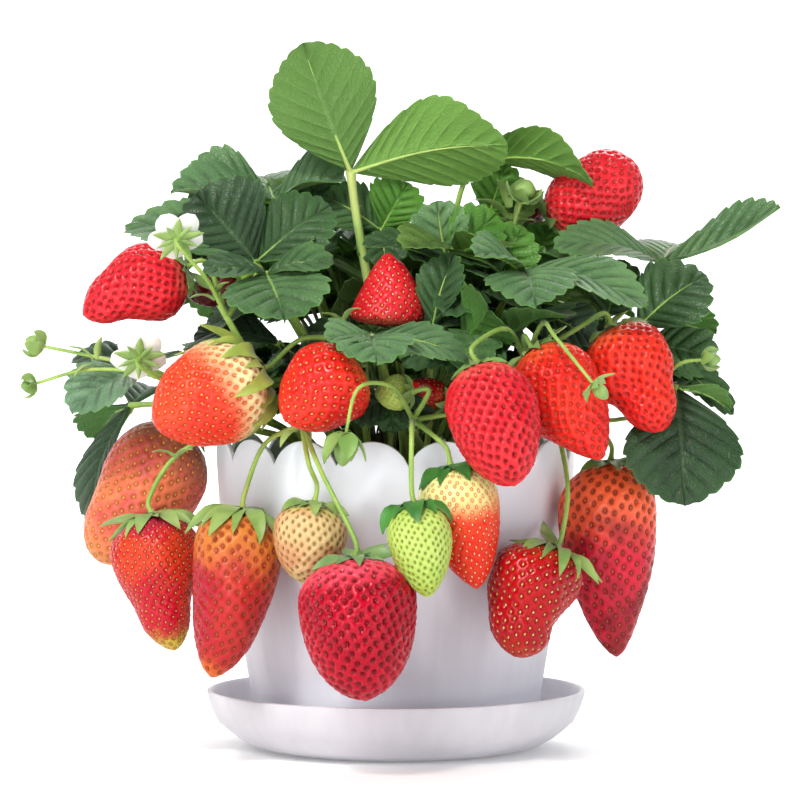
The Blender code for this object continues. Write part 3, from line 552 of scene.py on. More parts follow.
class Tone(Enum):
    """The shade of a leaf's blades."""

    # Painted shade: a darker copy of the leaf green for leaves that lie in the plant's shade.
    DARK = LeafFinish(
        "leaf_dark", (0.03, 0.074, 0.025), (0.013, 0.04, 0.012), (0.075, 0.15, 0.058), (0.05, 0.17, 0.015),
        0.03,
    )
    DEEP = LeafFinish(
        "leaf_deep", (0.05, 0.122, 0.037), (0.026, 0.076, 0.019), (0.11, 0.215, 0.078), (0.06, 0.19, 0.017),
        0.04,
    )
    MID = LeafFinish(
        "leaf_mid", (0.08, 0.18, 0.054), (0.046, 0.12, 0.031), (0.16, 0.29, 0.11), (0.07, 0.21, 0.019), 0.05,
    )
    HEART = LeafFinish(
        "leaf_heart", (0.11, 0.205, 0.036), (0.064, 0.135, 0.02), (0.19, 0.31, 0.07), (0.1, 0.24, 0.022),
        0.03,
    )
    GREY = LeafFinish(
        "leaf_grey", (0.115, 0.235, 0.08), (0.066, 0.16, 0.05), (0.22, 0.36, 0.18), (0.08, 0.22, 0.022), 0.07,
    )
    BLUISH = LeafFinish(
        "leaf_bluish", (0.165, 0.3, 0.16), (0.1, 0.21, 0.105), (0.29, 0.43, 0.26), (0.11, 0.25, 0.06), 0.08,
    )
    BRIGHT = LeafFinish(
        "leaf_bright", (0.08, 0.23, 0.023), (0.05, 0.17, 0.014), (0.15, 0.33, 0.055), (0.088, 0.178, 0.036),
        0.02,
    )
    TWO_TONED = LeafFinish(
        "leaf_two_toned", (0.1, 0.215, 0.078), (0.06, 0.15, 0.048), (0.19, 0.33, 0.15), (0.12, 0.285, 0.036),
        0.05,
    )
    # Painted light: a lighter copy of the leaf green, for blades that sit in shade but should look lit.
    PAINTED_LIT = LeafFinish(
        "leaf_painted_lit", (0.1, 0.27, 0.03), (0.065, 0.2, 0.018), (0.2, 0.4, 0.08), (0.15, 0.3, 0.056), 0.02,
    )


class Green(Enum):
    """The shade of a stem, calyx or bud."""

    FRESH = StemFinish("stem_fresh", (0.33, 0.5, 0.085), (0.22, 0.38, 0.055), (0.42, 0.46, 0.09))
    PALE = StemFinish("stem_pale", (0.42, 0.56, 0.14), (0.3, 0.45, 0.09), (0.48, 0.52, 0.15))
    BROWNISH = StemFinish("stem_brownish", (0.3, 0.36, 0.07), (0.2, 0.26, 0.05), (0.26, 0.12, 0.04), 0.52)
    # Painted shade: a darkened stem green for stalks inside the plant, where shade falls.
    SHADE = StemFinish("stem_shade", (0.12, 0.2, 0.035), (0.06, 0.12, 0.02), (0.16, 0.15, 0.04))
    SEPAL = StemFinish("sepal_green", (0.22, 0.38, 0.085), (0.13, 0.27, 0.05), (0.3, 0.43, 0.11))
    LIME = StemFinish("sepal_lime", (0.42, 0.49, 0.09), (0.28, 0.38, 0.055), (0.5, 0.52, 0.12))
    SEPAL_GREY = StemFinish("sepal_grey", (0.25, 0.39, 0.14), (0.14, 0.27, 0.08), (0.32, 0.44, 0.16))
    SEPAL_LIGHT = StemFinish("sepal_light", (0.29, 0.44, 0.12), (0.17, 0.31, 0.065), (0.38, 0.5, 0.15))
    SEPAL_DARK = StemFinish("sepal_dark", (0.06, 0.25, 0.035), (0.03, 0.15, 0.02), (0.12, 0.34, 0.06))


class Matter(Enum):
    """The plant's and the pot's other finishes."""

    # The pot's paler collar and foot colour is painted light.
    POT = PlasticFinish("pot_white", (0.64, 0.635, 0.695), (0.58, 0.575, 0.635), painted_light=(0.88, 0.92, 1.0))
    SAUCER = PlasticFinish("saucer_white", (0.68, 0.665, 0.705), (0.63, 0.62, 0.66), 0.42)
    SOIL = EarthFinish("soil", (0.012, 0.008, 0.005), (0.05, 0.032, 0.02), 160.0, 0.0012)
    BARK = EarthFinish("bark", (0.05, 0.03, 0.014), (0.2, 0.13, 0.06), 240.0, 0.0008)
    PETAL = PlainFinish("petal_white", (0.9, 0.9, 0.86), (0.8, 0.82, 0.74), 220.0, 0.55, 0.2)
    POLLEN = PlainFinish("pollen_yellow", (0.82, 0.6, 0.06), (0.62, 0.42, 0.03), 900.0, 0.7)
    HAIR = PlainFinish("hair_pale", (0.62, 0.7, 0.42), (0.52, 0.62, 0.34), 300.0, 0.4, 0.3)
    FLOOR = SweepFinish("floor_pale", (0.87, 0.87, 0.87), 0.85)


@cache
def material_of(choice: Enum) -> bpy.types.Material:
    """The material of a finish, made once."""
    return choice.value.material()


# --- Shells and pieces ---


@dataclass
class Shell:
    """A closed mesh as numbers: points in millimetres, and the point numbers of its faces."""

    points: np.ndarray
    corners: np.ndarray
    sizes: np.ndarray
    normals: np.ndarray | None = None

    @classmethod
    def taken(cls, obj: bpy.types.Object) -> Shell:
        """Read the mesh of an object that stands at the origin, remove it, and give back its shell."""
        mesh = obj.data
        points = np.empty(len(mesh.vertices) * 3)
        normals = np.empty(len(mesh.vertices) * 3)
        corners = np.empty(len(mesh.loops), int)
        sizes = np.empty(len(mesh.polygons), int)
        mesh.vertices.foreach_get("co", points)
        mesh.vertices.foreach_get("normal", normals)
        mesh.loops.foreach_get("vertex_index", corners)
        mesh.polygons.foreach_get("loop_total", sizes)
        bpy.data.objects.remove(obj, do_unlink=True)
        return cls(points.reshape(-1, 3), corners, sizes, normals.reshape(-1, 3))

    def copies(self, origins: np.ndarray, frames: np.ndarray) -> Shell:
        """Many copies of this shell.

        Args:
            origins: where each copy's origin goes, one a row.
            frames: for each copy three rows, where its X, Y and Z go, with their scale.

        Returns:
            All the copies as one shell.
        """
        placed = origins[:, None, :] + np.einsum("pk,nkj->npj", self.points, frames)
        jump = np.repeat(np.arange(len(origins)) * len(self.points), len(self.corners))
        corners = np.tile(self.corners, len(origins)) + jump
        return Shell(placed.reshape(-1, 3), corners, np.tile(self.sizes, len(origins)))


@cache
def plate_form(rows: int, columns: int) -> Shell:
    """A flat plate with a pointed end, made once for each pair of numbers.

    Args:
        rows: the faces along it.
        columns: the faces across it.

    Returns:
        The plate: X from -1 to 1 across, Y from 0 to 1 along, Z 0 above and -1 below.
    """
    select_none()
    bpy.ops.mesh.primitive_grid_add(x_subdivisions=columns, y_subdivisions=rows, size=2.0)
    obj = bpy.context.object
    bpy.ops.object.mode_set(mode="EDIT")
    bpy.ops.mesh.select_all(action="DESELECT")
    bpy.ops.object.mode_set(mode="OBJECT")
    for vertex in obj.data.vertices:
        vertex.select = vertex.co.y > 0.9999
    bpy.ops.object.mode_set(mode="EDIT")
    bpy.ops.mesh.merge(type="CENTER")
    bpy.ops.object.mode_set(mode="OBJECT")
    modifier = obj.modifiers.new("thick", "SOLIDIFY")
    modifier.thickness = 1.0
    modifier.offset = -1.0
    bpy.ops.object.modifier_apply(modifier=modifier.name)
    shell = Shell.taken(obj)
    shell.points[:, 1] = (shell.points[:, 1] + 1.0) / 2.0
    return shell


@cache
def drop_form() -> Shell:
    """A seed: a small drop with its point at +Y."""
    select_none()
    bpy.ops.mesh.primitive_ico_sphere_add(subdivisions=1, radius=1.0)
    shell = Shell.taken(bpy.context.object)
    taper = 1.0 - 0.35 * np.clip(shell.points[:, 1], 0.0, 1.0)
    shell.points[:, 0] *= taper
    shell.points[:, 2] *= taper
    return shell


@cache
def hair_form() -> Shell:
    """A hair: a three-sided spike one long up +Z."""
    select_none()
    bpy.ops.mesh.primitive_cone_add(vertices=3, radius1=1.0, depth=1.0, location=(0.0, 0.0, 0.5))
    bpy.ops.object.transform_apply(location=True)
    return Shell.taken(bpy.context.object)


class Piece:
    """Shells that make one finished object, each with its own finish and marks."""

    def __init__(self, name: str) -> None:
        """Start an empty piece of this name."""
        self.name = name
        self.shells: list[Shell] = []
        self.slots: list[int] = []
        self.marks: list[dict[str, np.ndarray]] = []
        self.materials: list[bpy.types.Material] = []

    def add(self, shell: Shell, choice: Enum, **marks: np.ndarray) -> None:
        """Add a shell.

        Args:
            shell: its mesh.
            choice: its finish.
            **marks: a number for each of its points, and "spot" with two.
        """
        material = material_of(choice)
        if material not in self.materials:
            self.materials.append(material)
        self.shells.append(shell)
        self.slots.append(self.materials.index(material))
        self.marks.append(marks)

    def build(self, *nodes: str, sharp: float = 50.0) -> None:
        """Make the object, ride it on the body and let it stand for its CAD nodes.

        Args:
            *nodes: the CAD nodes that it replaces.
            sharp: edges that turn more than this many degrees stay sharp.
        """
        starts = np.cumsum([0] + [len(shell.points) for shell in self.shells])
        points = np.concatenate([shell.points for shell in self.shells]) * MM
        corners = np.concatenate([s.corners + start for s, start in zip(self.shells, starts)])
        sizes = np.concatenate([shell.sizes for shell in self.shells])
        slots = np.concatenate([np.full(len(s.sizes), k) for s, k in zip(self.shells, self.slots)])
        mesh = bpy.data.meshes.new(self.name)
        mesh.vertices.add(len(points))
        mesh.loops.add(len(corners))
        mesh.polygons.add(len(sizes))
        mesh.vertices.foreach_set("co", points.astype(np.float32).ravel())
        mesh.loops.foreach_set("vertex_index", corners.astype(np.int32))
        first = np.concatenate([[0], np.cumsum(sizes)[:-1]])
        mesh.polygons.foreach_set("loop_start", first.astype(np.int32))
        for material in self.materials:
            mesh.materials.append(material)
        mesh.polygons.foreach_set("material_index", slots.astype(np.int32))
        mesh.update(calc_edges=True)
        self._write_marks(mesh, corners)
        mesh.shade_smooth()
        mesh.set_sharp_from_angle(angle=math.radians(sharp))
        obj = bpy.data.objects.new(self.name, mesh)
        bpy.context.scene.collection.objects.link(obj)
        ride(obj, *nodes)

    def _write_marks(self, mesh: bpy.types.Mesh, corners: np.ndarray) -> None:
        """Write the shells' marks as attributes, and their spots as the blade map."""
        for name in sorted({name for marks in self.marks for name in marks}):
            width = 2 if name == "spot" else 1
            values = [
                np.asarray(marks.get(name, np.zeros((len(shell.points), width)))).reshape(-1, width)
                for shell, marks in zip(self.shells, self.marks)
            ]
            values = np.concatenate(values).astype(np.float32)
            if name == "spot":
                layer = mesh.uv_layers.new(name="blade")
                layer.data.foreach_set("uv", values[corners].ravel())
            else:
                attribute = mesh.attributes.new(name, "FLOAT", "POINT")
                attribute.data.foreach_set("value", values.ravel())


def ride(obj: bpy.types.Object, *nodes: str) -> None:
    """Ride a piece on the root body and let it stand for the CAD nodes."""
    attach(obj, "root")
    if nodes:
        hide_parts(*nodes)
    mesh = obj.data
    triangles = sum(len(polygon.vertices) - 2 for polygon in mesh.polygons)
    LOG.info("%s: %d triangles", obj.name, triangles)


class Stems:
    """Round stems gathered in one curve, with a radius at each point."""

    def __init__(self, resolution: int = 2) -> None:
        """Start a curve whose bevel has 4 sides and 2 more for each step of resolution."""
        self.data = bpy.data.curves.new("stems", "CURVE")
        self.data.dimensions = "3D"
        self.data.bevel_depth = 1.0
        self.data.bevel_resolution = resolution
        self.data.use_fill_caps = True

    def add(self, path: np.ndarray, radii: np.ndarray) -> None:
        """Add one stem along a path, with its radius at each point."""
        spline = self.data.splines.new("POLY")
        spline.points.add(len(path) - 1)
        for point, place, radius in zip(spline.points, path, radii):
            point.co = (*place, 1.0)
            point.radius = radius

    def shell(self) -> Shell:
        """Turn the curve into a mesh and give back its shell."""
        obj = bpy.data.objects.new("stems", self.data)
        bpy.context.scene.collection.objects.link(obj)
        select_none()
        obj.select_set(True)
        bpy.context.view_layer.objects.active = obj
        bpy.ops.object.convert(target="MESH")
        return Shell.taken(bpy.context.object)


def hairs_on(shell: Shell, count: int, length: float, seed: int, lean: float = 0.35) -> Shell:
    """Fine hairs that stand out of a shell.

    Args:
        shell: the shell, with its normals.
        count: how many.
        length: their mean length.
        seed: what the random draw starts from.
        lean: how far they lean at random.

    Returns:
        The hairs.
    """
    rng = np.random.default_rng(seed)
    chosen = rng.integers(0, len(shell.points), count)
    ways = unit(shell.normals[chosen] + rng.normal(0.0, lean, (count, 3)))
    sides = unit(np.cross(ways, rng.normal(0.0, 1.0, (count, 3))))
    others = np.cross(ways, sides)
    lengths = length * rng.uniform(0.6, 1.25, (count, 1))
    frames = np.stack([sides * 0.055, others * 0.055, ways * lengths], axis=1)
    return hair_form().copies(shell.points[chosen] - ways * 0.05, frames)


def lobe(
    origin: np.ndarray,
    radial: np.ndarray,
    up: np.ndarray,
    reach: np.ndarray,
    rise: np.ndarray,
    half: float,
    thick: float,
    fold: float,
    blunt: float = 0.0,
    plate: tuple[int, int] = (8, 4),
    face: np.ndarray | None = None,
) -> Shell:
    """One sepal, bract or petal: a thin blade along a curve that leaves an axis.

    Args:
        origin: a point of the axis.
        radial: the way that it leaves the axis.
        up: the way that its upper face looks where it starts.
        reach: the curve's distances from the axis, evenly along it.
        rise: the curve's heights along up.
        half: half its greatest width.
        thick: its thickness.
        fold: how far its edges rise above its middle, as a share of its half width.
        blunt: from 0, pointed, to 1, round ended.
        plate: the rows and columns of its mesh.
        face: the way that its upper face comes to look further along, if that isn't up.

    Returns:
        The blade.
    """
    master = plate_form(*plate)
    across, along, level = master.points.T
    stations = np.linspace(0.0, 1.0, len(reach))
    curve = origin + np.outer(reach, radial) + np.outer(rise, up)
    ahead = unit(np.gradient(curve, axis=0))
    twist = smoothstep(0.12, 0.6, stations)[:, None]
    turned_side = np.cross(radial, up if face is None else face)
    side = np.cross(radial, up) * (1.0 - twist) + turned_side * twist
    side = unit(side - ahead * np.einsum("ij,ij->i", ahead, side)[:, None])
    normal = unit(np.cross(side, ahead))
    centre, facing, beside = (
        np.stack([np.interp(along, stations, column) for column in rows.T], axis=1)
        for rows in (curve, normal, side)
    )
    pointed = (1.0 - along**2.7) * (0.5 + 0.5 * smoothstep(-0.02, 0.36, along))
    opened = 0.3 + 0.7 * np.sin(math.pi * 0.5 * np.minimum(1.0, along / 0.62))
    rounded = np.sqrt(np.clip(1.0 - along**3.2, 0.0, 1.0)) * opened
    wide = half * ((1.0 - blunt) * pointed + blunt * rounded)
    points = centre + unit(beside) * (across * wide)[:, None]
    lift = fold * np.abs(across) * wide + level * thick * (1.0 - 0.6 * np.abs(across) ** 3)
    return Shell(points + unit(facing) * lift[:, None], master.corners, master.sizes)


# --- Fruit ---


@dataclass
class Calyx:
    """The green star on a fruit's shoulder.

    Droop is how many degrees a lobe bends towards the fruit's tip, and a negative one lifts it. Spread
    is how unequal the droops are. Lean is how far the lobes turn their faces outwards, and the outer
    ones droop by so much more.
    """

    lobes: int = 10
    length: float = 12.5
    width: float = 4.4
    droop: float = 55.0
    spread: float = 16.0
    green: Green = Green.SEPAL
    turn: float = 0.0
    lean: float = 0.9


@dataclass
class Berry:
    """A strawberry: the ends of its axis, its form, its colours, its seeds and its calyx.

    Belly is the share of its length where it is widest, and taper and blunt form it from there to the
    tip. Bend bows its axis, and lumps is how uneven its skin is. Twin makes it broader one way than the
    other, cleft grooves its two narrow sides, and waist narrows it two thirds of the way down. Spacing
    is how far apart the seeds are, depth is how far their pits sink, and dimple is a pit's radius as a
    share of the spacing.
    """

    base: Place
    tip: Place
    width: float
    ripeness: Ripeness = Ripeness.SCARLET
    seeds: Seeds = Seeds.GOLD
    spacing: float = 4.2
    belly: float = 0.34
    taper: float = 1.7
    bend: float = 0.0
    twin: float = 0.0
    lumps: float = 0.02
    depth: float = 0.85
    cleft: float = 0.0
    blunt: float = 0.66
    waist: float = 0.0
    dimple: float = 0.31
    calyx: Calyx = field(default_factory=Calyx)

    @property
    def pit(self) -> float:
        """The radius of a seed's pit."""
        return self.dimple * self.spacing

    def axes(self) -> tuple[np.ndarray, float, np.ndarray, np.ndarray, np.ndarray]:
        """The base, the length, two directions across the axis, and the axis."""
        base, tip = array(self.base), array(self.tip)
        length = float(np.linalg.norm(tip - base))
        axis = (tip - base) / length
        side = unit(np.cross(axis, (0.0, 1.0, 0.2)))
        return base, length, side, np.cross(axis, side), axis

    def radius(self, along: np.ndarray) -> np.ndarray:
        """The radius at a share of the length: a round shoulder and a tapered tip."""
        shoulder = np.clip((self.belly - along) / self.belly, 0.0, 1.0)
        taper = np.clip((along - self.belly) / (1.0 - self.belly), 0.0, 1.0)
        upper = (1.0 - shoulder**2.3) ** (1.0 / 2.3)
        lower = np.maximum(0.0, 1.0 - taper**self.taper) ** self.blunt
        lower = lower * (1.0 - self.waist * np.exp(-(((along - 0.66) / 0.15) ** 2)))
        return self.width / 2.0 * np.where(along < self.belly, upper, lower)

    @cached_property
    def meridian(self) -> dict[str, np.ndarray]:
        """A table down the skin: share, radius, distance walked, height on the net, area and slopes."""
        along = (1.0 - np.cos(np.linspace(0.0, math.pi, 1400))) / 2.0
        radius = self.radius(along)
        length = self.axes()[1]
        walked = np.hypot(np.diff(radius), np.diff(along) * length)
        middle = np.maximum((radius[1:] + radius[:-1]) / 2.0, 0.02)
        table = {"along": along, "radius": radius}
        table["walk"] = np.concatenate([[0.0], np.cumsum(walked)])
        table["net"] = np.concatenate([[0.0], np.cumsum(walked / middle)])
        table["area"] = np.concatenate([[0.0], np.cumsum(walked * middle)]) * math.tau
        table["out"] = np.gradient(along * length, table["walk"])
        table["down"] = -np.gradient(radius, table["walk"])
        return table

    def at(self, walk: np.ndarray | float, name: str) -> np.ndarray:
        """The meridian's numbers of this name at distances walked down the skin."""
        return np.interp(walk, self.meridian["walk"], self.meridian[name])

    def surface(self, walk: np.ndarray, angle: np.ndarray) -> tuple[np.ndarray, np.ndarray]:
        """Places on the smooth skin.

        Args:
            walk: how far down the skin each place is.
            angle: each place's angle round the axis.

        Returns:
            The places and the directions straight out of the skin.
        """
        base, length, side, other, axis = self.axes()
        along, radius, out, down = (self.at(walk, name) for name in ("along", "radius", "out", "down"))
        rng = np.random.default_rng(int(abs(self.base[0]) * 7 + abs(self.tip[2]) * 13))
        grow = 1.0 + self.twin * np.cos(2.0 * angle)
        for turns in (1, 2, 3, 5):
            first, second = rng.uniform(0.0, math.tau, 2)
            wave = np.sin(turns * angle + first) * np.sin(math.pi * along * (1.0 + 0.6 * turns) + second)
            grow += self.lumps * wave * np.sin(math.pi * along) ** 0.7 / math.sqrt(turns)
        away = np.abs((angle - 0.25 * math.tau + math.pi / 2.0) % math.pi - math.pi / 2.0)
        grow -= self.cleft * np.exp(-((away / 0.42) ** 2)) * smoothstep(0.15, 0.75, along)
        radial = around(side, other, angle)
        bow = self.bend * 4.0 * along * (1.0 - along)
        middle = base + np.outer(length * along, axis) + np.outer(bow, side)
        normal = unit(radial * out[:, None] + axis * down[:, None])
        return middle + radial * (radius * grow)[:, None], normal

    def down_skin(self, shares: np.ndarray) -> np.ndarray:
        """How far down the skin these shares of its area reach."""
        return np.interp(shares * self.meridian["area"][-1], self.meridian["area"], self.meridian["walk"])

    def seed_spots(self) -> tuple[np.ndarray, np.ndarray]:
        """Where the seeds lie on the skin, on a spiral with equal room for each."""
        count = max(12, round(self.meridian["area"][-1] / (0.866 * self.spacing**2)))
        rng = np.random.default_rng(count)
        walk = self.down_skin((np.arange(count) + 0.5) / count)
        walk += rng.normal(0.0, 0.07 * self.spacing, count)
        radius = np.maximum(self.at(walk, "radius"), 1.0)
        angle = np.arange(count) * GOLDEN_ANGLE + rng.normal(0.0, 0.07 * self.spacing, count) / radius
        end = self.meridian["walk"][-1]
        room = (walk > 0.42 * self.spacing + 1.0) & (walk < end - 0.42 * self.spacing)
        return walk[room], angle[room] % math.tau

    def net_spots(self, walk: np.ndarray, angle: np.ndarray) -> tuple[np.ndarray, np.ndarray]:
        """The skin's mesh points: rings in and round each pit, and a few on the flesh between.

        Args:
            walk: how far down the skin each seed is.
            angle: each seed's angle.

        Returns:
            The same two numbers for each mesh point.
        """
        pit = self.pit
        rows, turns = [walk], [angle]
        rings = ((0.48, 5), (0.86, 7), (1.2, 8)) if self.spacing > 3.5 else ((0.5, 5), (1.08, 7))
        for size, count in rings:
            for k in range(count):
                way = math.tau * k / count + angle * 3.0
                row = walk + 1.3 * size * pit * np.cos(way)
                radius = np.maximum(self.at(row, "radius"), 0.5)
                rows.append(row)
                turns.append(angle + size * pit * np.sin(way) / radius)
        count = round(self.meridian["area"][-1] / (0.866 * (0.46 * self.spacing) ** 2))
        filler = self.down_skin((np.arange(count) + 0.5) / count)
        spin = (np.arange(count) * GOLDEN_ANGLE + 0.3) % math.tau
        far = self.pit_distance(walk, angle, filler, spin) > 1.4 * pit
        rows.append(filler[far])
        turns.append(spin[far])
        rows, turns = np.concatenate(rows), np.concatenate(turns) % math.tau
        inside = (rows > 1.3) & (rows < self.meridian["walk"][-1] - 1.2)
        return rows[inside], turns[inside]

    def pit_distance(
        self, walk: np.ndarray, angle: np.ndarray, rows: np.ndarray, turns: np.ndarray
    ) -> np.ndarray:
        """How far each spot is from the nearest seed, over the skin.

        Args:
            walk: how far down the skin each seed is.
            angle: each seed's angle.
            rows: how far down the skin each spot is.
            turns: each spot's angle.

        Returns:
            The distances.
        """
        seeds = self.surface(walk, angle)[0]
        spots = self.surface(rows, turns)[0]
        tree = KDTree(len(seeds))
        for number, place in enumerate(seeds):
            tree.insert(place, number)
        tree.balance()
        near = np.array([tree.find(place)[1] for place in spots])
        apart = (turns - angle[near] + math.pi) % math.tau - math.pi
        return np.hypot((rows - walk[near]) / 1.3, apart * self.at(rows, "radius"))

    def net(self, rows: np.ndarray, turns: np.ndarray) -> tuple[np.ndarray, np.ndarray, np.ndarray]:
        """The triangles of a closed skin through the spots.

        The spots are laid out flat on a map of the skin that keeps angles, with copies past both
        ends of the turn, and joined there.

        Args:
            rows: how far down the skin each spot is.
            turns: each spot's angle.

        Returns:
            The spots' two numbers, with the end rings and the two poles added, and the triangles.
        """
        ends = 9
        ring = np.arange(ends) * math.tau / ends
        last = self.meridian["walk"][-1]
        rows = np.concatenate([rows, np.full(ends, 0.7), np.full(ends, last - 0.6), [0.0, last]])
        turns = np.concatenate([turns, ring, ring + 0.2, [0.0, 0.0]])
        count = len(rows) - 2
        height = self.at(rows[:count], "net")
        radius = np.maximum(self.at(rows[:count], "radius"), 0.3)
        margin = np.minimum(math.pi, 3.2 * self.spacing / radius)
        numbers, across = np.arange(count), turns[:count]
        low = across < margin
        high = across > math.tau - margin
        owner = np.concatenate([numbers, numbers[low], numbers[high]])
        across = np.concatenate([across, across[low] + math.tau, across[high] - math.tau])
        flat = [Vector((x, y)) for x, y in zip(across, height[owner])]
        result = delaunay_2d_cdt(flat, [], [], 0, 1e-9)
        origin = [ids[0] for ids in result[3]]
        faces = np.array([[origin[i] for i in face] for face in result[2]])
        middle = across[faces].mean(axis=1)
        faces = owner[faces[(middle >= 0.0) & (middle < math.tau)]]
        faces = [faces]
        for first, pole in ((count - 2 * ends, count), (count - ends, count + 1)):
            k = np.arange(ends)
            fan = np.stack([np.full(ends, pole), first + k, first + (k + 1) % ends], axis=1)
            faces.append(fan if pole == count + 1 else fan[:, ::-1])
        return rows, turns, np.concatenate(faces)

    def add_to(self, piece: Piece) -> None:
        """Add the skin and the seeds to a piece."""
        walk, angle = self.seed_spots()
        rows, turns = self.net_spots(walk, angle)
        rows, turns, faces = self.net(rows, turns)
        distance = self.pit_distance(walk, angle, rows, turns)
        pit = self.pit
        places, normals = self.surface(rows, turns)
        sunk = self.depth * (1.0 - smoothstep(0.15 * pit, 1.2 * pit, distance))
        swell = 0.34 * self.depth * smoothstep(pit, 1.8 * pit, distance)
        points = places + normals * (swell - sunk)[:, None]
        a, b, c = (points[faces[:, k]] - points.mean(axis=0) for k in range(3))
        if np.einsum("ij,ij->i", a, np.cross(b, c)).sum() < 0:
            faces = faces[:, ::-1]
        edges = np.sort(np.concatenate([faces[:, [0, 1]], faces[:, [1, 2]], faces[:, [2, 0]]]), axis=1)
        uses = np.unique(edges, axis=0, return_counts=True)[1]
        if (uses != 2).any():
            LOG.warning("%s: %d open skin edges", piece.name, int((uses != 2).sum()))
        shell = Shell(points, faces.ravel(), np.full(len(faces), 3))
        near = 1.0 - np.clip(distance / (2.0 * pit), 0.0, 1.0)
        piece.add(shell, self.ripeness, along=self.at(rows, "along"), pit=near)
        places, normals = self.surface(walk, angle)
        ahead = unit(self.surface(walk + 0.5, angle)[0] - places)
        side = np.cross(ahead, normals)
        size = 0.14 * self.spacing + 0.06
        frames = np.stack([side * size * 0.62, ahead * size * 1.05, normals * size * 0.5], axis=1)
        origins = places + normals * (0.18 * size - 0.8 * self.depth)
        piece.add(drop_form().copies(origins, frames), self.seeds)

    def star(self) -> Shell:
        """The calyx: lobes that lie on the shoulder and leave it where it turns down faster than they do."""
        calyx = self.calyx
        base, _, side, other, axis = self.axes()
        rng = np.random.default_rng(int(abs(self.base[0] * 3 + self.base[2])))
        outward = np.array((0.0, -1.0 if self.base[1] < 20 else 1.0, 0.0))
        shells = []
        for k in range(calyx.lobes):
            minor = k % 2 == 1 and calyx.lobes > 5
            length = calyx.length * rng.uniform(0.88, 1.1) * (0.84 if minor else 1.0)
            half = calyx.width / 2.0 * rng.uniform(0.85, 1.1) * (0.66 if minor else 1.0)
            droop = math.radians(calyx.droop + rng.normal(0.0, calyx.spread) + (6.0 if minor else 0.0))
            angle = calyx.turn + math.tau * (k + rng.normal(0.0, 0.12)) / calyx.lobes
            radial = side * math.cos(angle) + other * math.sin(angle)
            droop += math.radians(32.0) * calyx.lean * float(radial @ outward)
            reach, fall = self.lobe_line(length, droop, 0.6 + (0.3 if minor else 0.7))
            face = unit(outward * calyx.lean - axis + rng.normal(0.0, 0.18, 3))
            shells.append(lobe(base, radial, -axis, reach, -fall, half, 0.5, 0.22, face=face))
        return joined(shells)

    def lobe_line(self, length: float, droop: float, clear: float) -> tuple[np.ndarray, np.ndarray]:
        """The line of one lobe.

        Args:
            length: how long the lobe is.
            droop: the angle below level that it bends to.
            clear: its height over the skin.

        Returns:
            Its distances from the axis and its depths below the base, evenly along it.
        """
        steps = 24
        span = length / (steps - 1)
        walk, lying = 0.7, True
        reach, fall = [0.7], [-clear]
        for step in range(1, steps):
            bend = droop * (0.2 + 0.8 * (step / steps) ** 0.5)
            out, down = (float(self.at(walk, name)) for name in ("out", "down"))
            lying = lying and bend >= math.atan2(out, -down)
            if lying:
                walk += span
                radius, along = (float(self.at(walk, name)) for name in ("radius", "along"))
                reach.append(radius + clear * out)
                fall.append(along * self.axes()[1] + clear * down)
            else:
                reach.append(reach[-1] + span * math.cos(bend))
                fall.append(fall[-1] + span * math.sin(bend))
        return np.array(reach), np.array(fall)


def joined(shells: list[Shell]) -> Shell:
    """Several shells as one."""
    starts = np.cumsum([0] + [len(shell.points) for shell in shells])
    corners = np.concatenate([shell.corners + start for shell, start in zip(shells, starts)])
    points = np.concatenate([shell.points for shell in shells])
    return Shell(points, corners, np.concatenate([shell.sizes for shell in shells]))


# --- Leaves ---


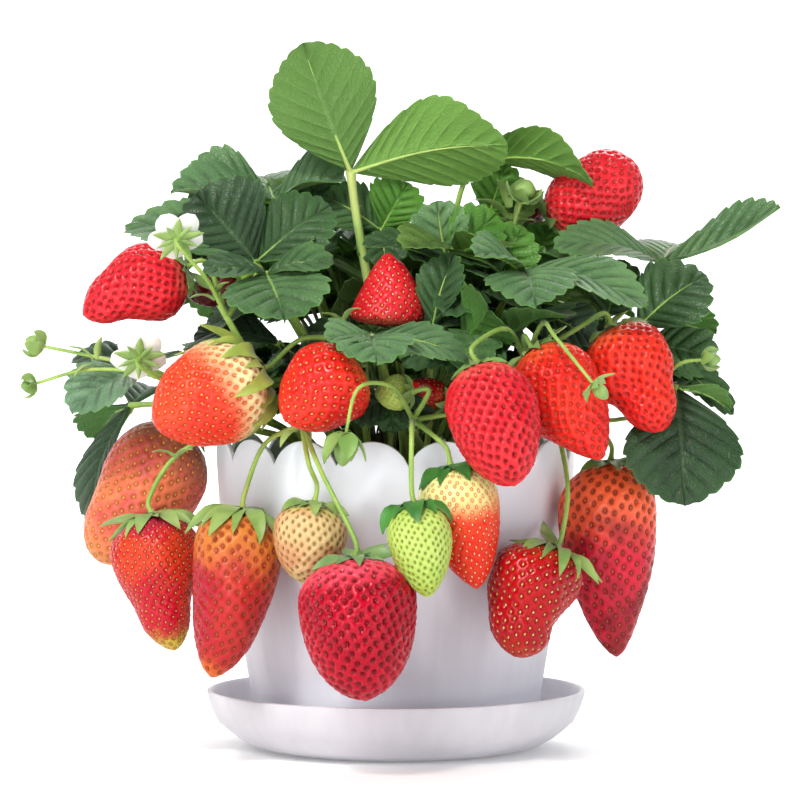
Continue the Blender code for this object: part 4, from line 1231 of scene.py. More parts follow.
@dataclass
class Leaflet:
    """A leaflet: from the leaf's joint to its tip, its width, and the way its upper face looks.

    Fold is how many degrees each half rises from the rib, and arch is how far its middle bows up, as a
    share of its length. Teeth scales the teeth, and pleat the swelling between the veins. A leaflet
    that isn't fine has a coarser mesh.
    """

    reach: Place
    width: float
    face: Place
    fold: float = 14.0
    arch: float = 0.1
    veins: int = 8
    tone: Tone | None = None
    teeth: float = 1.0
    fine: bool = True
    pleat: float = 1.0

    def half_width(self, along: np.ndarray) -> np.ndarray:
        """Half the blade's width at a share of its length."""
        return self.width / 2.0 * np.sin(math.pi * np.clip(along, 0.0, 1.0) ** 1.3) ** 0.72

    def frame(self) -> tuple[float, np.ndarray, np.ndarray, np.ndarray]:
        """The length and the directions ahead, across and up."""
        reach = array(self.reach)
        length = float(np.linalg.norm(reach))
        side = unit(np.cross(reach / length, array(self.face)))
        return length, reach / length, side, np.cross(side, reach / length)

    def shell(self, joint: Place, rng: np.random.Generator) -> tuple[Shell, dict[str, np.ndarray]]:
        """The blade: veins that run to the teeth, flesh that swells between them, and a wavy edge.

        Args:
            joint: where it starts.
            rng: the random draw for its waves.

        Returns:
            The blade and its marks.
        """
        length, ahead, side, normal = self.frame()
        steps = (0.0, 0.1, 0.22, 0.42, 0.62, 0.82, 1.0) if self.fine else (0.0, 0.22, 0.62, 1.0)
        plate = plate_form((len(steps) - 1) * self.veins, 14 if self.fine else 8)
        column, row, level = plate.points.T
        across = np.sign(column) * np.abs(column) ** 1.25
        edge = np.abs(across)
        phase = row * self.veins
        whole = np.floor(phase + 1e-4)
        part = np.interp(phase - whole, np.linspace(0.0, 1.0, len(steps)), steps)
        phase = whole + part
        start = (phase / self.veins) ** 1.55
        margin = 1.0 - (1.0 - phase / self.veins) ** 1.55
        along = start + (margin - start) * edge**1.15
        half = self.half_width(margin)
        half = np.where(margin < 0.5, np.maximum(half, 0.8), half)
        tall = self.teeth * min(2.1, 0.7 + 0.035 * self.width)
        tooth = np.maximum(1.0 - part / 0.22, np.clip((part - 0.22) / 0.78, 0.0, 1.0) ** 0.55)
        tooth = tooth * smoothstep(0.16, 0.36, margin) * (1.0 - smoothstep(0.95, 1.0, margin))
        outer = edge**5
        size = 0.45 + 0.55 * self.width / 40.0
        inset = 0.25 * tall * smoothstep(0.2, 0.4, margin)
        reach = across * (half - inset) + np.sign(across) * outer * tooth * tall
        along = along + outer * tooth * 0.55 * tall / length
        near = np.minimum(part, 1.0 - part)
        groove = np.exp(-((near / 0.09) ** 2)) * smoothstep(0.0, 0.12, edge) * (1.0 - 0.7 * edge)
        swell = np.sin(math.pi * part) ** 0.8 * np.sin(math.pi * np.clip(edge, 0.0, 1.0) ** 0.8) ** 0.6
        rib = np.exp(-((edge / 0.07) ** 2))
        first, second, third = rng.uniform(0.0, math.tau, 3)
        wave = edge**2 * np.sin(1.15 * phase + first + 1.7 * (across > 0))
        sway = np.sin(math.pi * along) * np.sin(2.4 * along + second) * 0.9
        sway = sway + edge * along * math.sin(third) * 1.2
        rise = self.arch * length * np.sin(math.pi * np.clip(along, 0.0, 1.0))
        folds = self.pleat * (1.2 * swell - 0.4 * groove) - 0.4 * rib
        rise += size * (folds + 0.85 * wave * smoothstep(0.1, 0.4, along) + sway)
        fold = math.radians(self.fold)
        crease = np.sqrt(reach**2 + 0.8) - math.sqrt(0.8)
        rise += crease * math.sin(fold) + level * (0.45 - 0.15 * edge**4)
        points = array(joint) + np.outer(along * length, ahead) + np.outer(reach * math.cos(fold), side)
        points += np.outer(rise, normal)
        marks = {"spot": np.stack([phase, across], axis=1), "under": (level < -0.5).astype(float)}
        return Shell(points, plate.corners, plate.sizes), marks

    def rib(self, joint: Place) -> tuple[np.ndarray, np.ndarray]:
        """The path and the radii of the rib that stands out under the blade."""
        length, ahead, _, normal = self.frame()
        along = np.linspace(0.0, 0.86, 9)
        rise = self.arch * length * np.sin(math.pi * along) - 0.75 * self.width / 40.0 - 0.25
        path = array(joint) + np.outer(along * length, ahead) + np.outer(rise, normal)
        return path, np.interp(along, (0.0, 0.15, 0.86), (1.0, 0.62, 0.12)) * (0.7 + 0.3 * self.width / 40.0)


def foot_points(foot: tuple[float, float], lean: float) -> tuple[np.ndarray, np.ndarray]:
    """The end of a stem down in the soil, and the point where it comes out."""
    out = bearing(foot[0])
    direction = unit(out * lean + np.array((0.0, 0.0, 1.0)))
    surface = out * foot[1] + np.array((0.0, 0.0, Soil.top_z))
    return surface - direction * 8.0, surface + direction * 3.0


@dataclass
class Leaf:
    """A leaf: the bearing and distance of its stalk's foot, its joint, and its leaflets.

    Lean is how far the stalk leans outwards where it leaves the soil, and sway is how much its end
    turns to the way of the first leaflet.
    """

    foot: tuple[float, float]
    joint: Place
    leaflets: tuple[Leaflet, ...]
    tone: Tone = Tone.DEEP
    green: Green = Green.FRESH
    stalk: float = 1.4
    lean: float = 0.35
    hairs: int = 220
    fine: bool = True
    sway: float = 0.4

    def stalk_path(self) -> np.ndarray:
        """The stalk: straight out of the soil, then one easy curve to the joint."""
        foot, surface = foot_points(self.foot, self.lean)
        joint = array(self.joint)
        span = float(np.linalg.norm(joint - surface))
        leave = unit(surface - foot) * span
        arrive = unit(unit(array(self.leaflets[0].reach)) * self.sway + unit(joint - surface)) * span * 0.8
        t = np.linspace(0.0, 1.0, 15)[:, None]
        path = surface * (2 * t**3 - 3 * t**2 + 1) + leave * (t**3 - 2 * t**2 + t)
        path = path + joint * (3 * t**2 - 2 * t**3) + arrive * (t**3 - t**2)
        return np.concatenate([[foot], path, [joint + unit(arrive) * 0.9]])

    def add_to(self, piece: Piece, seed: int) -> None:
        """Add the stalk, its hairs, the ribs and the blades to a piece."""
        rng = np.random.default_rng(seed)
        stems = Stems(2 if self.fine else 1)
        path = self.stalk_path() if self.fine else self.stalk_path()[::2]
        radii = np.linspace(self.stalk, self.stalk * 0.78, len(path))
        radii[-3:] = self.stalk * np.array((0.8, 1.0, 0.75))
        stems.add(path, radii)
        for leaflet in self.leaflets if self.fine else ():
            stems.add(*leaflet.rib(self.joint))
        stalk = stems.shell()
        piece.add(stalk, self.green)
        if self.hairs:
            piece.add(hairs_on(stalk, self.hairs, 1.25, seed + 50), Matter.HAIR)
        for leaflet in self.leaflets:
            shell, marks = leaflet.shell(self.joint, rng)
            piece.add(shell, leaflet.tone or self.tone, **marks)


# --- Fruit stalks ---


@dataclass
class Bud:
    """A closed bud or a young green fruit in its sepals."""

    base: Place
    reach: Place
    width: float
    way: tuple[Place, ...] = ()
    green: Green = Green.SEPAL_LIGHT
    open: float = 82.0

    def shells(self) -> list[Shell]:
        """The bud's body and its sepals."""
        base, reach = array(self.base), array(self.reach)
        length = float(np.linalg.norm(reach))
        form = Berry(
            self.base, tuple(base + reach * 0.95), self.width * 1.75, belly=0.42, taper=1.8, lumps=0.0,
            calyx=Calyx(5, length * 1.12, self.width * 1.9, self.open, 7.0, lean=0.0),
        )
        select_none()
        bpy.ops.mesh.primitive_uv_sphere_add(segments=14, ring_count=10, radius=1.0)
        body = Shell.taken(bpy.context.object)
        walk = np.arccos(np.clip(-body.points[:, 2], -1.0, 1.0)) / math.pi * form.meridian["walk"][-1]
        angle = np.arctan2(body.points[:, 1], body.points[:, 0])
        body.points = form.surface(walk, angle)[0]
        return [body, form.star()]


@dataclass
class Flower:
    """An open flower: where it is, the way it faces, and its width."""

    centre: Place
    face: Place
    width: float
    way: tuple[Place, ...] = ()

    def axes(self) -> tuple[np.ndarray, np.ndarray, np.ndarray, np.ndarray]:
        """The centre, two directions across, and the way it faces."""
        axis = unit(array(self.face))
        side = np.array(Vector(axis).orthogonal().normalized())
        return array(self.centre), side, np.cross(axis, side), axis

    def ring(
        self, lobes: int, turn: float, reach: np.ndarray, rise: np.ndarray, half: float, thick: float,
        blunt: float
    ) -> Shell:
        """A ring of blades round the centre.

        Args:
            lobes: how many.
            turn: the first one's angle.
            reach: their distances from the axis, evenly along them.
            rise: their heights along the axis.
            half: half their greatest width.
            thick: their thickness.
            blunt: from 0, pointed, to 1, round ended.

        Returns:
            The ring.
        """
        centre, side, other, axis = self.axes()
        shells = []
        for k in range(lobes):
            angle = turn + math.tau * k / lobes
            radial = side * math.cos(angle) + other * math.sin(angle)
            height = rise + 0.12 * (k % 2)
            shells.append(lobe(centre, radial, axis, reach, height, half, thick, 0.12, blunt, (9, 6)))
        return joined(shells)

    def green(self) -> list[Shell]:
        """The sepals behind the petals and the seat that they stand on."""
        share = np.linspace(0.0, 1.0, 14)
        reach = 0.8 + 0.43 * self.width * share
        long = self.ring(5, 0.6, reach, -1.5 - 0.9 * share**2, 1.9, 0.45, 0.0)
        reach = 0.8 + 0.34 * self.width * share
        short = self.ring(5, 0.6 + math.pi / 5, reach, -1.9 - 1.2 * share**2, 1.2, 0.4, 0.0)
        return [long, short]

    def petals(self) -> Shell:
        """Five round petals, a little cupped."""
        share = np.linspace(0.0, 1.0, 14)
        reach = 1.4 + 0.43 * self.width * share
        return self.ring(5, 0.0, reach, -0.6 + 2.4 * share**2, 0.235 * self.width, 0.35, 1.0)

    def heart(self) -> tuple[Shell, Shell]:
        """The domed middle with its small drops, and the stamens round it."""
        centre, side, other, axis = self.axes()
        number = np.arange(60)
        tilt = np.arccos(1.0 - (number + 0.5) / 60.0)
        turn = number * GOLDEN_ANGLE
        radial = around(side, other, turn)
        out = radial * np.sin(tilt)[:, None] + axis * np.cos(tilt)[:, None]
        size = np.where(number[:, None] > 44, 0.0, 1.0)
        places = centre + axis * 0.8 + out * np.array((2.6,))
        across = unit(np.cross(out, axis + 0.01))
        frames = np.stack([across * 0.62, np.cross(out, across) * 0.62, out * (0.7 + 0.2 * size)], axis=1)
        dome = drop_form().copies(places, frames)
        count = 18
        turn = np.arange(count) * math.tau / count
        radial = around(side, other, turn)
        tops = centre + radial * 4.2 + axis * (2.4 + 0.6 * (np.arange(count) % 2))[:, None]
        along = np.tile(axis * 0.4, (count, 1))
        frames = np.stack([radial * 0.38, np.cross(axis, radial) * 0.55, along], axis=1)
        return dome, drop_form().copies(tops, frames)


@dataclass
class Bract:
    """A small leaf at a fork: where it starts, the way it goes, and how wide it is."""

    base: Place
    reach: Place
    half: float = 1.8

    def shell(self) -> Shell:
        """The bract as a blade that arches over."""
        reach = array(self.reach)
        length = float(np.linalg.norm(reach))
        radial = reach / length
        up = unit(np.array((0.0, 0.0, 1.0)) - radial * radial[2] + 1e-3)
        share = np.linspace(0.0, 1.0, 12)
        rise = 0.14 * length * np.sin(math.pi * share)
        return lobe(array(self.base), radial, up, length * share, rise, self.half, 0.4, 0.3)


@dataclass
class Truss:
    """A fruit stalk: its foot, the points its main stem passes, and what its branches carry."""

    foot: tuple[float, float]
    way: tuple[Place, ...]
    branches: tuple[tuple[str, tuple[Place, ...]], ...] = ()
    buds: tuple[Bud, ...] = ()
    flowers: tuple[Flower, ...] = ()
    bracts: tuple[Bract, ...] = ()
    green: Green = Green.FRESH
    stalk: float = 1.7
    lean: float = 0.5

    def add_to(self, piece: Piece, seed: int) -> None:
        """Add the stems, their hairs, the calyces, buds and sepals to a piece."""
        foot, surface = foot_points(self.foot, self.lean)
        out = unit(surface - foot) * 9.0
        main = np.concatenate([[foot], smooth_path([surface, surface + out, *self.way], 6)])
        coarse = smooth_path([surface, surface + out, *self.way], 2)
        rooted = (coarse[-2] + coarse[-1]) / 2.0
        stems = Stems()
        stems.add(main, np.linspace(self.stalk, self.stalk * 0.72, len(main)))
        for name, way in self.branches:
            berry = BERRIES[name]
            base, _, _, _, axis = berry.axes()
            path = smooth_path([rooted, *way, base - axis * 8.0, base - axis * 0.9], 7)
            share = np.linspace(0.0, 1.0, len(path))
            stems.add(path, np.interp(share, (0.0, 0.3, 0.88, 1.0), (1.15, 0.92, 0.95, 1.7)))
            piece.add(berry.star(), berry.calyx.green)
        for bud in self.buds:
            base = array(bud.base)
            path = smooth_path([rooted, *bud.way, base + array(bud.reach) * 0.08], 6)
            stems.add(path, np.linspace(0.95, 0.62, len(path)))
            for shell in bud.shells():
                piece.add(shell, bud.green)
        for flower in self.flowers:
            centre, _, _, axis = flower.axes()
            path = smooth_path([rooted, *flower.way, centre - axis * 7.0, centre - axis * 1.3], 6)
            share = np.linspace(0.0, 1.0, len(path))
            stems.add(path, np.interp(share, (0.0, 0.8, 1.0), (0.95, 0.7, 1.5)))
            for shell in flower.green():
                piece.add(shell, Green.SEPAL_LIGHT)
        for bract in self.bracts:
            piece.add(bract.shell(), Green.SEPAL_LIGHT)
        shell = stems.shell()
        piece.add(shell, self.green)
        piece.add(hairs_on(shell, 260 + 140 * len(self.branches), 1.1, seed), Matter.HAIR)


# --- Pot, saucer, soil and crown ---


def turned(stations: list[tuple[float, float]], sides: int, open_top: bool = False) -> bpy.types.Object:
    """A ring of edges drawn out from station to station, as on a lathe.

    Args:
        stations: each ring's radius and height.
        sides: the faces round it.
        open_top: True to leave the last ring open.

    Returns:
        The object, in millimetres.
    """
    select_none()
    radius, height = stations[0]
    bpy.ops.mesh.primitive_circle_add(vertices=sides, radius=radius, location=(0.0, 0.0, height))
    obj = bpy.context.object
    bpy.ops.object.transform_apply(location=True)
    bpy.ops.object.mode_set(mode="EDIT")
    bpy.ops.mesh.select_all(action="SELECT")
    bpy.ops.mesh.edge_face_add()
    for (before, low), (after, high) in zip(stations, stations[1:]):
        bpy.ops.mesh.extrude_edges_move(TRANSFORM_OT_translate={"value": (0.0, 0.0, high - low)})
        share = after / before
        bpy.ops.transform.resize(value=(share, share, 1.0), center_override=(0.0, 0.0, high))
    if not open_top:
        bpy.ops.mesh.edge_face_add()
    bpy.ops.mesh.select_all(action="SELECT")
    bpy.ops.mesh.normals_make_consistent(inside=False)
    bpy.ops.object.mode_set(mode="OBJECT")
    return obj


def apply_modifier(obj: bpy.types.Object, kind: str, **settings: object) -> None:
    """Add one modifier with these settings and apply it."""
    select_none()
    obj.select_set(True)
    bpy.context.view_layer.objects.active = obj
    modifier = obj.modifiers.new(kind.lower(), kind)
    for name, value in settings.items():
        setattr(modifier, name, value)
    bpy.ops.object.modifier_apply(modifier=modifier.name)


@dataclass
class Pot:
    """The pot: a cone under an upright collar whose rim is cut into convex scallops."""

    base_z: float = 3.3
    base_radius: float = 54.8
    collar_z: float = 97.0
    collar_radius: float = 70.6
    rim_z: float = 124.9
    rim_radius: float = 71.7
    wall: float = 2.0
    scallops: int = 16
    sides_per_scallop: int = 14
    scallop_radius: float = 15.3
    turn: float = math.radians(-97.3)
    drain_holes: int = 6
    drain_radius: float = 1.8
    drain_ring: float = 30.0

    def wall_radius(self, height: float) -> float:
        """The outer radius at a height."""
        if height < self.collar_z:
            share = (height - self.base_z) / (self.collar_z - self.base_z)
            return self.base_radius + share * (self.collar_radius - self.base_radius)
        share = (height - self.collar_z) / (self.rim_z - self.collar_z)
        return self.collar_radius + share * (self.rim_radius - self.collar_radius)

    def build(self) -> None:
        """Turn the wall, cut the scallops, give it thickness, round its edges and drill it."""
        heights = [4.4, 20.0, 40.0, 60.0, 80.0, 94.0, 97.0, 100.0, 106.0, 112.0, 118.0, self.rim_z]
        foot = ((-7.0, 0.8), (-5.0, 0.0), (-1.0, 0.0))
        stations = [(self.base_radius + out, self.base_z + up) for out, up in foot]
        stations += [(self.wall_radius(height), height) for height in heights]
        obj = turned(stations, self.scallops * self.sides_per_scallop, open_top=True)
        self._scallop(obj.data)
        apply_modifier(obj, "SOLIDIFY", thickness=self.wall, offset=-1.0, use_even_offset=True)
        bevel = {"width": 0.45, "segments": 3, "limit_method": "ANGLE", "angle_limit": math.radians(48.0)}
        apply_modifier(obj, "BEVEL", **bevel)
        self._drill(obj)
        piece = Piece("pot_body")
        piece.add(Shell.taken(obj), Matter.POT)
        piece.build("pot", sharp=32.0)

    def _scallop(self, mesh: bpy.types.Mesh) -> None:
        """Turn the ring to the scallops and pull the collar up to their arcs."""
        places = np.empty(len(mesh.vertices) * 3)
        mesh.vertices.foreach_get("co", places)
        places = places.reshape(-1, 3)
        radius = np.hypot(places[:, 0], places[:, 1])
        angle = np.arctan2(places[:, 1], places[:, 0]) - math.pi / 2.0 + self.turn
        pitch = math.tau / self.scallops
        offset = (angle - self.turn + pitch / 2.0) % pitch - pitch / 2.0
        across = np.clip(np.abs(offset) * self.rim_radius, 0.0, self.scallop_radius - 0.01)
        rim = self.rim_z - (self.scallop_radius - np.sqrt(self.scallop_radius**2 - across**2))
        share = np.clip((places[:, 2] - self.collar_z) / (self.rim_z - self.collar_z), 0.0, 1.0)
        places[:, 2] -= share * (self.rim_z - rim)
        places[:, 0], places[:, 1] = radius * np.cos(angle), radius * np.sin(angle)
        mesh.vertices.foreach_set("co", places.ravel())
        mesh.update()

    def _drill(self, obj: bpy.types.Object) -> None:
        """Drill the drain holes through the floor."""
        for k in range(self.drain_holes):
            angle = math.tau * k / self.drain_holes
            place = (self.drain_ring * math.cos(angle), self.drain_ring * math.sin(angle), self.base_z)
            select_none()
            bpy.ops.mesh.primitive_cylinder_add(
                vertices=20, radius=self.drain_radius, depth=12.0, location=place
            )
            drill = bpy.context.object
            bpy.ops.object.transform_apply(location=True)
            apply_modifier(obj, "BOOLEAN", object=drill, operation="DIFFERENCE", solver="EXACT")
            bpy.data.objects.remove(drill, do_unlink=True)


@dataclass
class Saucer:
    """The saucer: a shallow turned dish with a flat foot and a rounded lip."""

    height: float = 23.5
    radius: float = 75.6
    foot: float = 50.0
    sides: int = 160

    def build(self) -> None:
        """Turn the dish and dress it."""
        foot, edge, lip = self.foot, self.radius, self.height
        stations = [
            (foot - 1.2, 0.6), (foot - 0.6, 0.0), (foot + 0.6, 0.0), (54.5, 0.9), (59.0, 2.2), (63.4, 4.7),
            (67.4, 7.8), (71.0, 11.0), (73.4, 15.5), (75.0, 20.0), (edge, lip - 0.9), (edge - 0.1, lip - 0.3),
            (edge - 0.5, lip), (edge - 1.4, lip), (edge - 1.8, lip - 0.4), (73.2, lip - 1.2), (72.6, 18.0),
            (71.0, 14.6), (69.0, 12.2), (65.6, 8.9), (61.6, 5.2), (59.6, 3.6), (57.5, 3.0),
        ]
        obj = turned(stations, self.sides)
        piece = Piece("saucer_dish")
        piece.add(Shell.taken(obj), Matter.SAUCER)
        piece.build("saucer", sharp=38.0)


@dataclass
class Soil:
    """The soil: a body that fills the pot, its crumbly top, and loose crumbs on it.

    Inset is how far it stays inside the pot's outer face.
    """

    top_z: float = 112.0
    edge_z: float = 108.0
    inset: float = 2.4
    crumbs: int = 620
    seed: int = 5

    def height(self, x: np.ndarray, y: np.ndarray) -> np.ndarray:
        """The top's height over a place."""
        radius = np.hypot(x, y)
        height = np.interp(radius, (0.0, 40.0, 69.0), (self.top_z, self.top_z, self.edge_z))
        waves = np.sin(x * 0.31 + 1.0) * np.sin(y * 0.27 + 0.4) + 0.6 * np.sin(x * 0.73 - y * 0.52)
        return height + 0.45 * waves - 0.9

    def build(self) -> None:
        """Turn the body, roughen its top and strew the crumbs."""
        pot = Pot()
        low = pot.base_z + 2.8
        stations = [(pot.wall_radius(height) - self.inset, height) for height in (low, pot.collar_z)]
        stations += [(pot.wall_radius(self.edge_z) - self.inset, self.edge_z - 1.2)]
        stations += [(radius, self.edge_z - 0.8) for radius in np.linspace(67.0, 2.0, 40)]
        obj = turned(stations, 120)
        rng = np.random.default_rng(self.seed)
        for vertex in obj.data.vertices:
            if vertex.co.z > self.edge_z - 1.0:
                vertex.co.z = float(self.height(vertex.co.x, vertex.co.y)) + rng.normal(0.0, 0.28)
        obj.data.update()
        piece = Piece("soil_bed")
        piece.add(Shell.taken(obj), Matter.SOIL)
        angle = rng.uniform(0.0, math.tau, self.crumbs)
        radius = 66.5 * np.sqrt(rng.uniform(0.01, 1.0, self.crumbs))
        x, y = radius * np.cos(angle), radius * np.sin(angle)
        size = rng.uniform(0.5, 1.9, self.crumbs)
        places = np.stack([x, y, self.height(x, y) + 0.2 * size], axis=1)
        ways = unit(rng.normal(0.0, 1.0, (self.crumbs, 3)))
        sides = unit(np.cross(ways, rng.normal(0.0, 1.0, (self.crumbs, 3))))
        scales = size[:, None, None] * rng.uniform(0.55, 1.25, (self.crumbs, 3, 1))
        frames = np.stack([sides, np.cross(ways, sides), ways], axis=1) * scales
        piece.add(drop_form().copies(places, frames), Matter.SOIL)
        piece.build("soil", sharp=180.0)


@dataclass
class Crown:
    """The crown: a short knobbly stump wrapped in the dry feet of old leaves."""

    radius: float = 8.0
    top_z: float = 127.0
    scales: int = 22

    def build(self) -> None:
        """Turn the stump, roughen it and lay the dry scales round it."""
        soil = Soil.top_z
        profile = ((1.0, -11.0), (1.0, -1.0), (0.98, 3.0), (0.9, 7.5), (0.72, 11.0), (0.45, 14.0))
        stations = [(self.radius * share, soil + height) for share, height in profile]
        stations += [(1.0, self.top_z)]
        obj = turned(stations, 40)
        for vertex in obj.data.vertices:
            angle = math.atan2(vertex.co.y, vertex.co.x)
            grow = 1.0 + 0.06 * math.sin(5.0 * angle + 0.3 * vertex.co.z) + 0.04 * math.sin(11.0 * angle)
            vertex.co.x *= grow
            vertex.co.y *= grow
        obj.data.update()
        piece = Piece("crown_stump")
        piece.add(Shell.taken(obj), Matter.BARK)
        share = np.linspace(0.0, 1.0, 12)
        for k in range(self.scales):
            angle = k * GOLDEN_ANGLE
            foot = soil - 1.0 + 0.5 * k
            radial = np.array((math.cos(angle), math.sin(angle), 0.0))
            up = np.array((0.0, 0.0, 1.0))
            out = self.radius * (0.95 - 0.018 * k)
            start = up * foot + radial * out
            bow = 2.2 * np.sin(math.pi * share) + 1.6 * share**3
            piece.add(lobe(start, up, -radial, (8.0 + 0.1 * k) * share, -bow, 2.4, 0.5, 0.25), Matter.BARK)
        piece.build("crown")


# --- The plant's plan ---


BERRIES: dict[str, Berry] = {
    "berry_left_big": Berry(
        (-86, -3, 127), (-119, -5, 75), 40, Ripeness.SUNSET, Seeds.GOLD, 4.4, taper=2.4, bend=2, lumps=0.05,
        depth=0.7, blunt=0.5, calyx=Calyx(9, 12.0, 5.4, 50.0),
    ),
    "berry_left_low": Berry(
        (-95, -36, 94), (-86, -46, 43), 35, Ripeness.CRIMSON_GOLD, Seeds.GOLD, 3.1, belly=0.28, taper=1.55,
        bend=-2, lumps=0.06, depth=0.6, blunt=0.6, waist=0.14,
        calyx=Calyx(14, 22.0, 7.4, 22.0, 22.0, Green.SEPAL_LIGHT),
    ),
    "berry_long_left": Berry(
        (-59, -64, 98), (-70, -72, 35), 34, Ripeness.ORANGE_CRIMSON, Seeds.RUSSET, 4.2, belly=0.24, taper=1.8,
        bend=2, lumps=0.05, depth=0.7, blunt=0.58, calyx=Calyx(12, 25.0, 7.2, 44.0, 26.0, Green.SEPAL_LIGHT),
    ),
    "berry_pale": Berry(
        (-31, -79, 101), (-35, -84, 72), 28, Ripeness.CREAM, Seeds.OLIVE, 3.2, taper=2.2, depth=0.6,
        calyx=Calyx(9, 14.0, 6.6, 50.0, 20.0, Green.SEPAL_LIGHT),
    ),
    "berry_front_big": Berry(
        (-15, -101, 82), (-12, -108, 30), 44, Ripeness.GLOSSY, Seeds.WINE, 4.1, belly=0.32, taper=2.3,
        lumps=0.03, depth=1.25, blunt=0.6, calyx=Calyx(9, 16.0, 6.6, 22.0, 20.0, Green.SEPAL_GREY),
    ),
    "berry_green": Berry(
        (7, -103, 102), (12, -111, 69), 24, Ripeness.GREEN, Seeds.OLIVE, 2.6, taper=1.8, depth=0.65,
        calyx=Calyx(8, 15.0, 9.0, 72.0, 8.0, Green.SEPAL_DARK),
    ),
    "berry_front_right": Berry(
        (21, -83, 115), (31, -87, 70), 31, Ripeness.BLUSHING, Seeds.PALE, 3.0, belly=0.3, taper=1.6,
        lumps=0.03, depth=0.6, blunt=0.72, calyx=Calyx(10, 16.0, 8.0, 66.0, 12.0, Green.SEPAL_DARK),
    ),
    "berry_right_low": Berry(
        (61, -67, 83), (45, -79, 44), 35, Ripeness.GARNET, Seeds.BRIGHT, 3.8, belly=0.3, taper=2.0, bend=-4,
        lumps=0.075, depth=0.75, blunt=0.5, waist=0.13,
        calyx=Calyx(13, 24.0, 7.0, 36.0, 24.0, Green.SEPAL_LIGHT, 0.5),
    ),
    "berry_long_right": Berry(
        (84, -36, 115), (86, -40, 40), 37, Ripeness.PLUM, Seeds.RUSSET, 4.4, belly=0.24, taper=1.5, bend=-2,
        twin=0.05, lumps=0.06, depth=0.6, blunt=0.62, calyx=Calyx(9, 12.0, 5.6, 60.0),
    ),
    "berry_left_rim": Berry(
        (-54, -62, 151), (-91, -84, 132), 40, Ripeness.PALE_SHOULDER, Seeds.GOLD, 3.7, belly=0.38, taper=1.7,
        lumps=0.045, depth=0.8, calyx=Calyx(16, 32.0, 9.0, 78.0, 20.0, Green.LIME, 0.0, 1.0),
    ),
    "berry_rim": Berry(
        (-16, -76, 154), (-42, -89, 134), 34, Ripeness.SCARLET, Seeds.GOLD, 3.9, taper=1.8, lumps=0.055,
        depth=0.9, calyx=Calyx(8, 11.0, 5.4, 50.0),
    ),
    "berry_upright": Berry(
        (-5, -40, 169), (-3, -40, 197), 29, Ripeness.ROSE, Seeds.BRIGHT, 3.3, belly=0.16, taper=1.35, bend=-2,
        depth=0.75, blunt=0.66, calyx=Calyx(8, 9.0, 4.4, 60.0),
    ),
    "berry_right_rim": Berry(
        (31, -92, 154), (44, -105, 110), 34, Ripeness.ROSE, Seeds.WINE, 3.8, belly=0.36, taper=2.1,
        lumps=0.03, depth=1.3, blunt=0.56, dimple=0.36, calyx=Calyx(8, 10.0, 5.0, 40.0),
    ),
    "berry_right_mid": Berry(
        (53, -66, 159), (78, -85, 119), 33, Ripeness.SCARLET, Seeds.RUSSET, 3.7, belly=0.36, taper=1.6,
        lumps=0.06, depth=1.0, blunt=0.74, calyx=Calyx(10, 14.0, 6.0, 35.0, 30.0, Green.SEPAL_LIGHT),
    ),
    "berry_twin": Berry(
        (84, -49, 167), (102, -64, 129), 32, Ripeness.SCARLET, Seeds.WINE, 3.7, belly=0.3, taper=1.9,
        twin=0.08, lumps=0.06, depth=0.95, cleft=0.14, blunt=0.6, waist=0.2,
        calyx=Calyx(9, 12.0, 5.4, 40.0, 24.0, Green.SEPAL_LIGHT),
    ),
    "berry_upper_left": Berry(
        (-83, -38, 191), (-121, -46, 173), 31, Ripeness.ROSE, Seeds.WINE, 3.7, belly=0.36, taper=1.5, bend=-2,
        lumps=0.06, depth=0.9, cleft=0.12, blunt=0.62, waist=0.12,
        calyx=Calyx(11, 15.0, 6.0, 30.0, 30.0, Green.SEPAL_LIGHT),
    ),
    "berry_upper_right": Berry(
        (62, 10, 211), (97, 4, 232), 31, Ripeness.ROSE, Seeds.RUSSET, 3.6, belly=0.5, taper=2.8, lumps=0.05,
        depth=0.9, blunt=0.54, calyx=Calyx(9, 12.0, 5.4, 40.0, 24.0, Green.SEPAL_LIGHT),
    ),
    "berry_inner_red": Berry(
        (18, -57, 140), (5, -55, 147), 13, Ripeness.GARNET, Seeds.GOLD, 2.3, depth=0.4,
        calyx=Calyx(5, 6.0, 3.2, 60.0),
    ),
    "berry_inner_green": Berry(
        (5, -72, 144), (-8, -68, 143), 14, Ripeness.GREEN, Seeds.PALE, 2.1, depth=0.35,
        calyx=Calyx(8, 6.5, 3.0, 60.0, 12.0, Green.SEPAL_LIGHT),
    ),
    # Painted shade: these two fruit lie in shadow and are coloured dark maroon with black seeds for it.
    "berry_dark_left": Berry(
        (-62, -22, 187), (-82, -19, 180), 16, Ripeness.DARK, Seeds.BLACK, 2.8, depth=0.5,
        calyx=Calyx(8, 7.0, 3.0, 60.0),
    ),
    "berry_dark_right": Berry(
        (42, 24, 211), (62, 27, 218), 19, Ripeness.DARK, Seeds.BLACK, 3.0, depth=0.6,
        calyx=Calyx(8, 7.0, 3.0, 60.0),
    ),
    "berry_back_left": Berry(
        (-50, 78, 112), (-52, 86, 64), 34, Ripeness.GARNET, Seeds.GOLD, 4.6,
        calyx=Calyx(10, 15.0, 5.4, 30.0, 20.0),
    ),
    "berry_back": Berry(
        (0, 93, 99), (3, 100, 50), 36, Ripeness.GLOSSY, Seeds.GOLD, 4.7,
        calyx=Calyx(10, 16.0, 5.6, 24.0, 20.0, Green.SEPAL_GREY),
    ),
    "berry_back_right": Berry(
        (50, 78, 114), (55, 86, 68), 33, Ripeness.BLUSHING, Seeds.PALE, 4.4,
        calyx=Calyx(10, 15.0, 5.6, 30.0, 20.0),
    ),
}

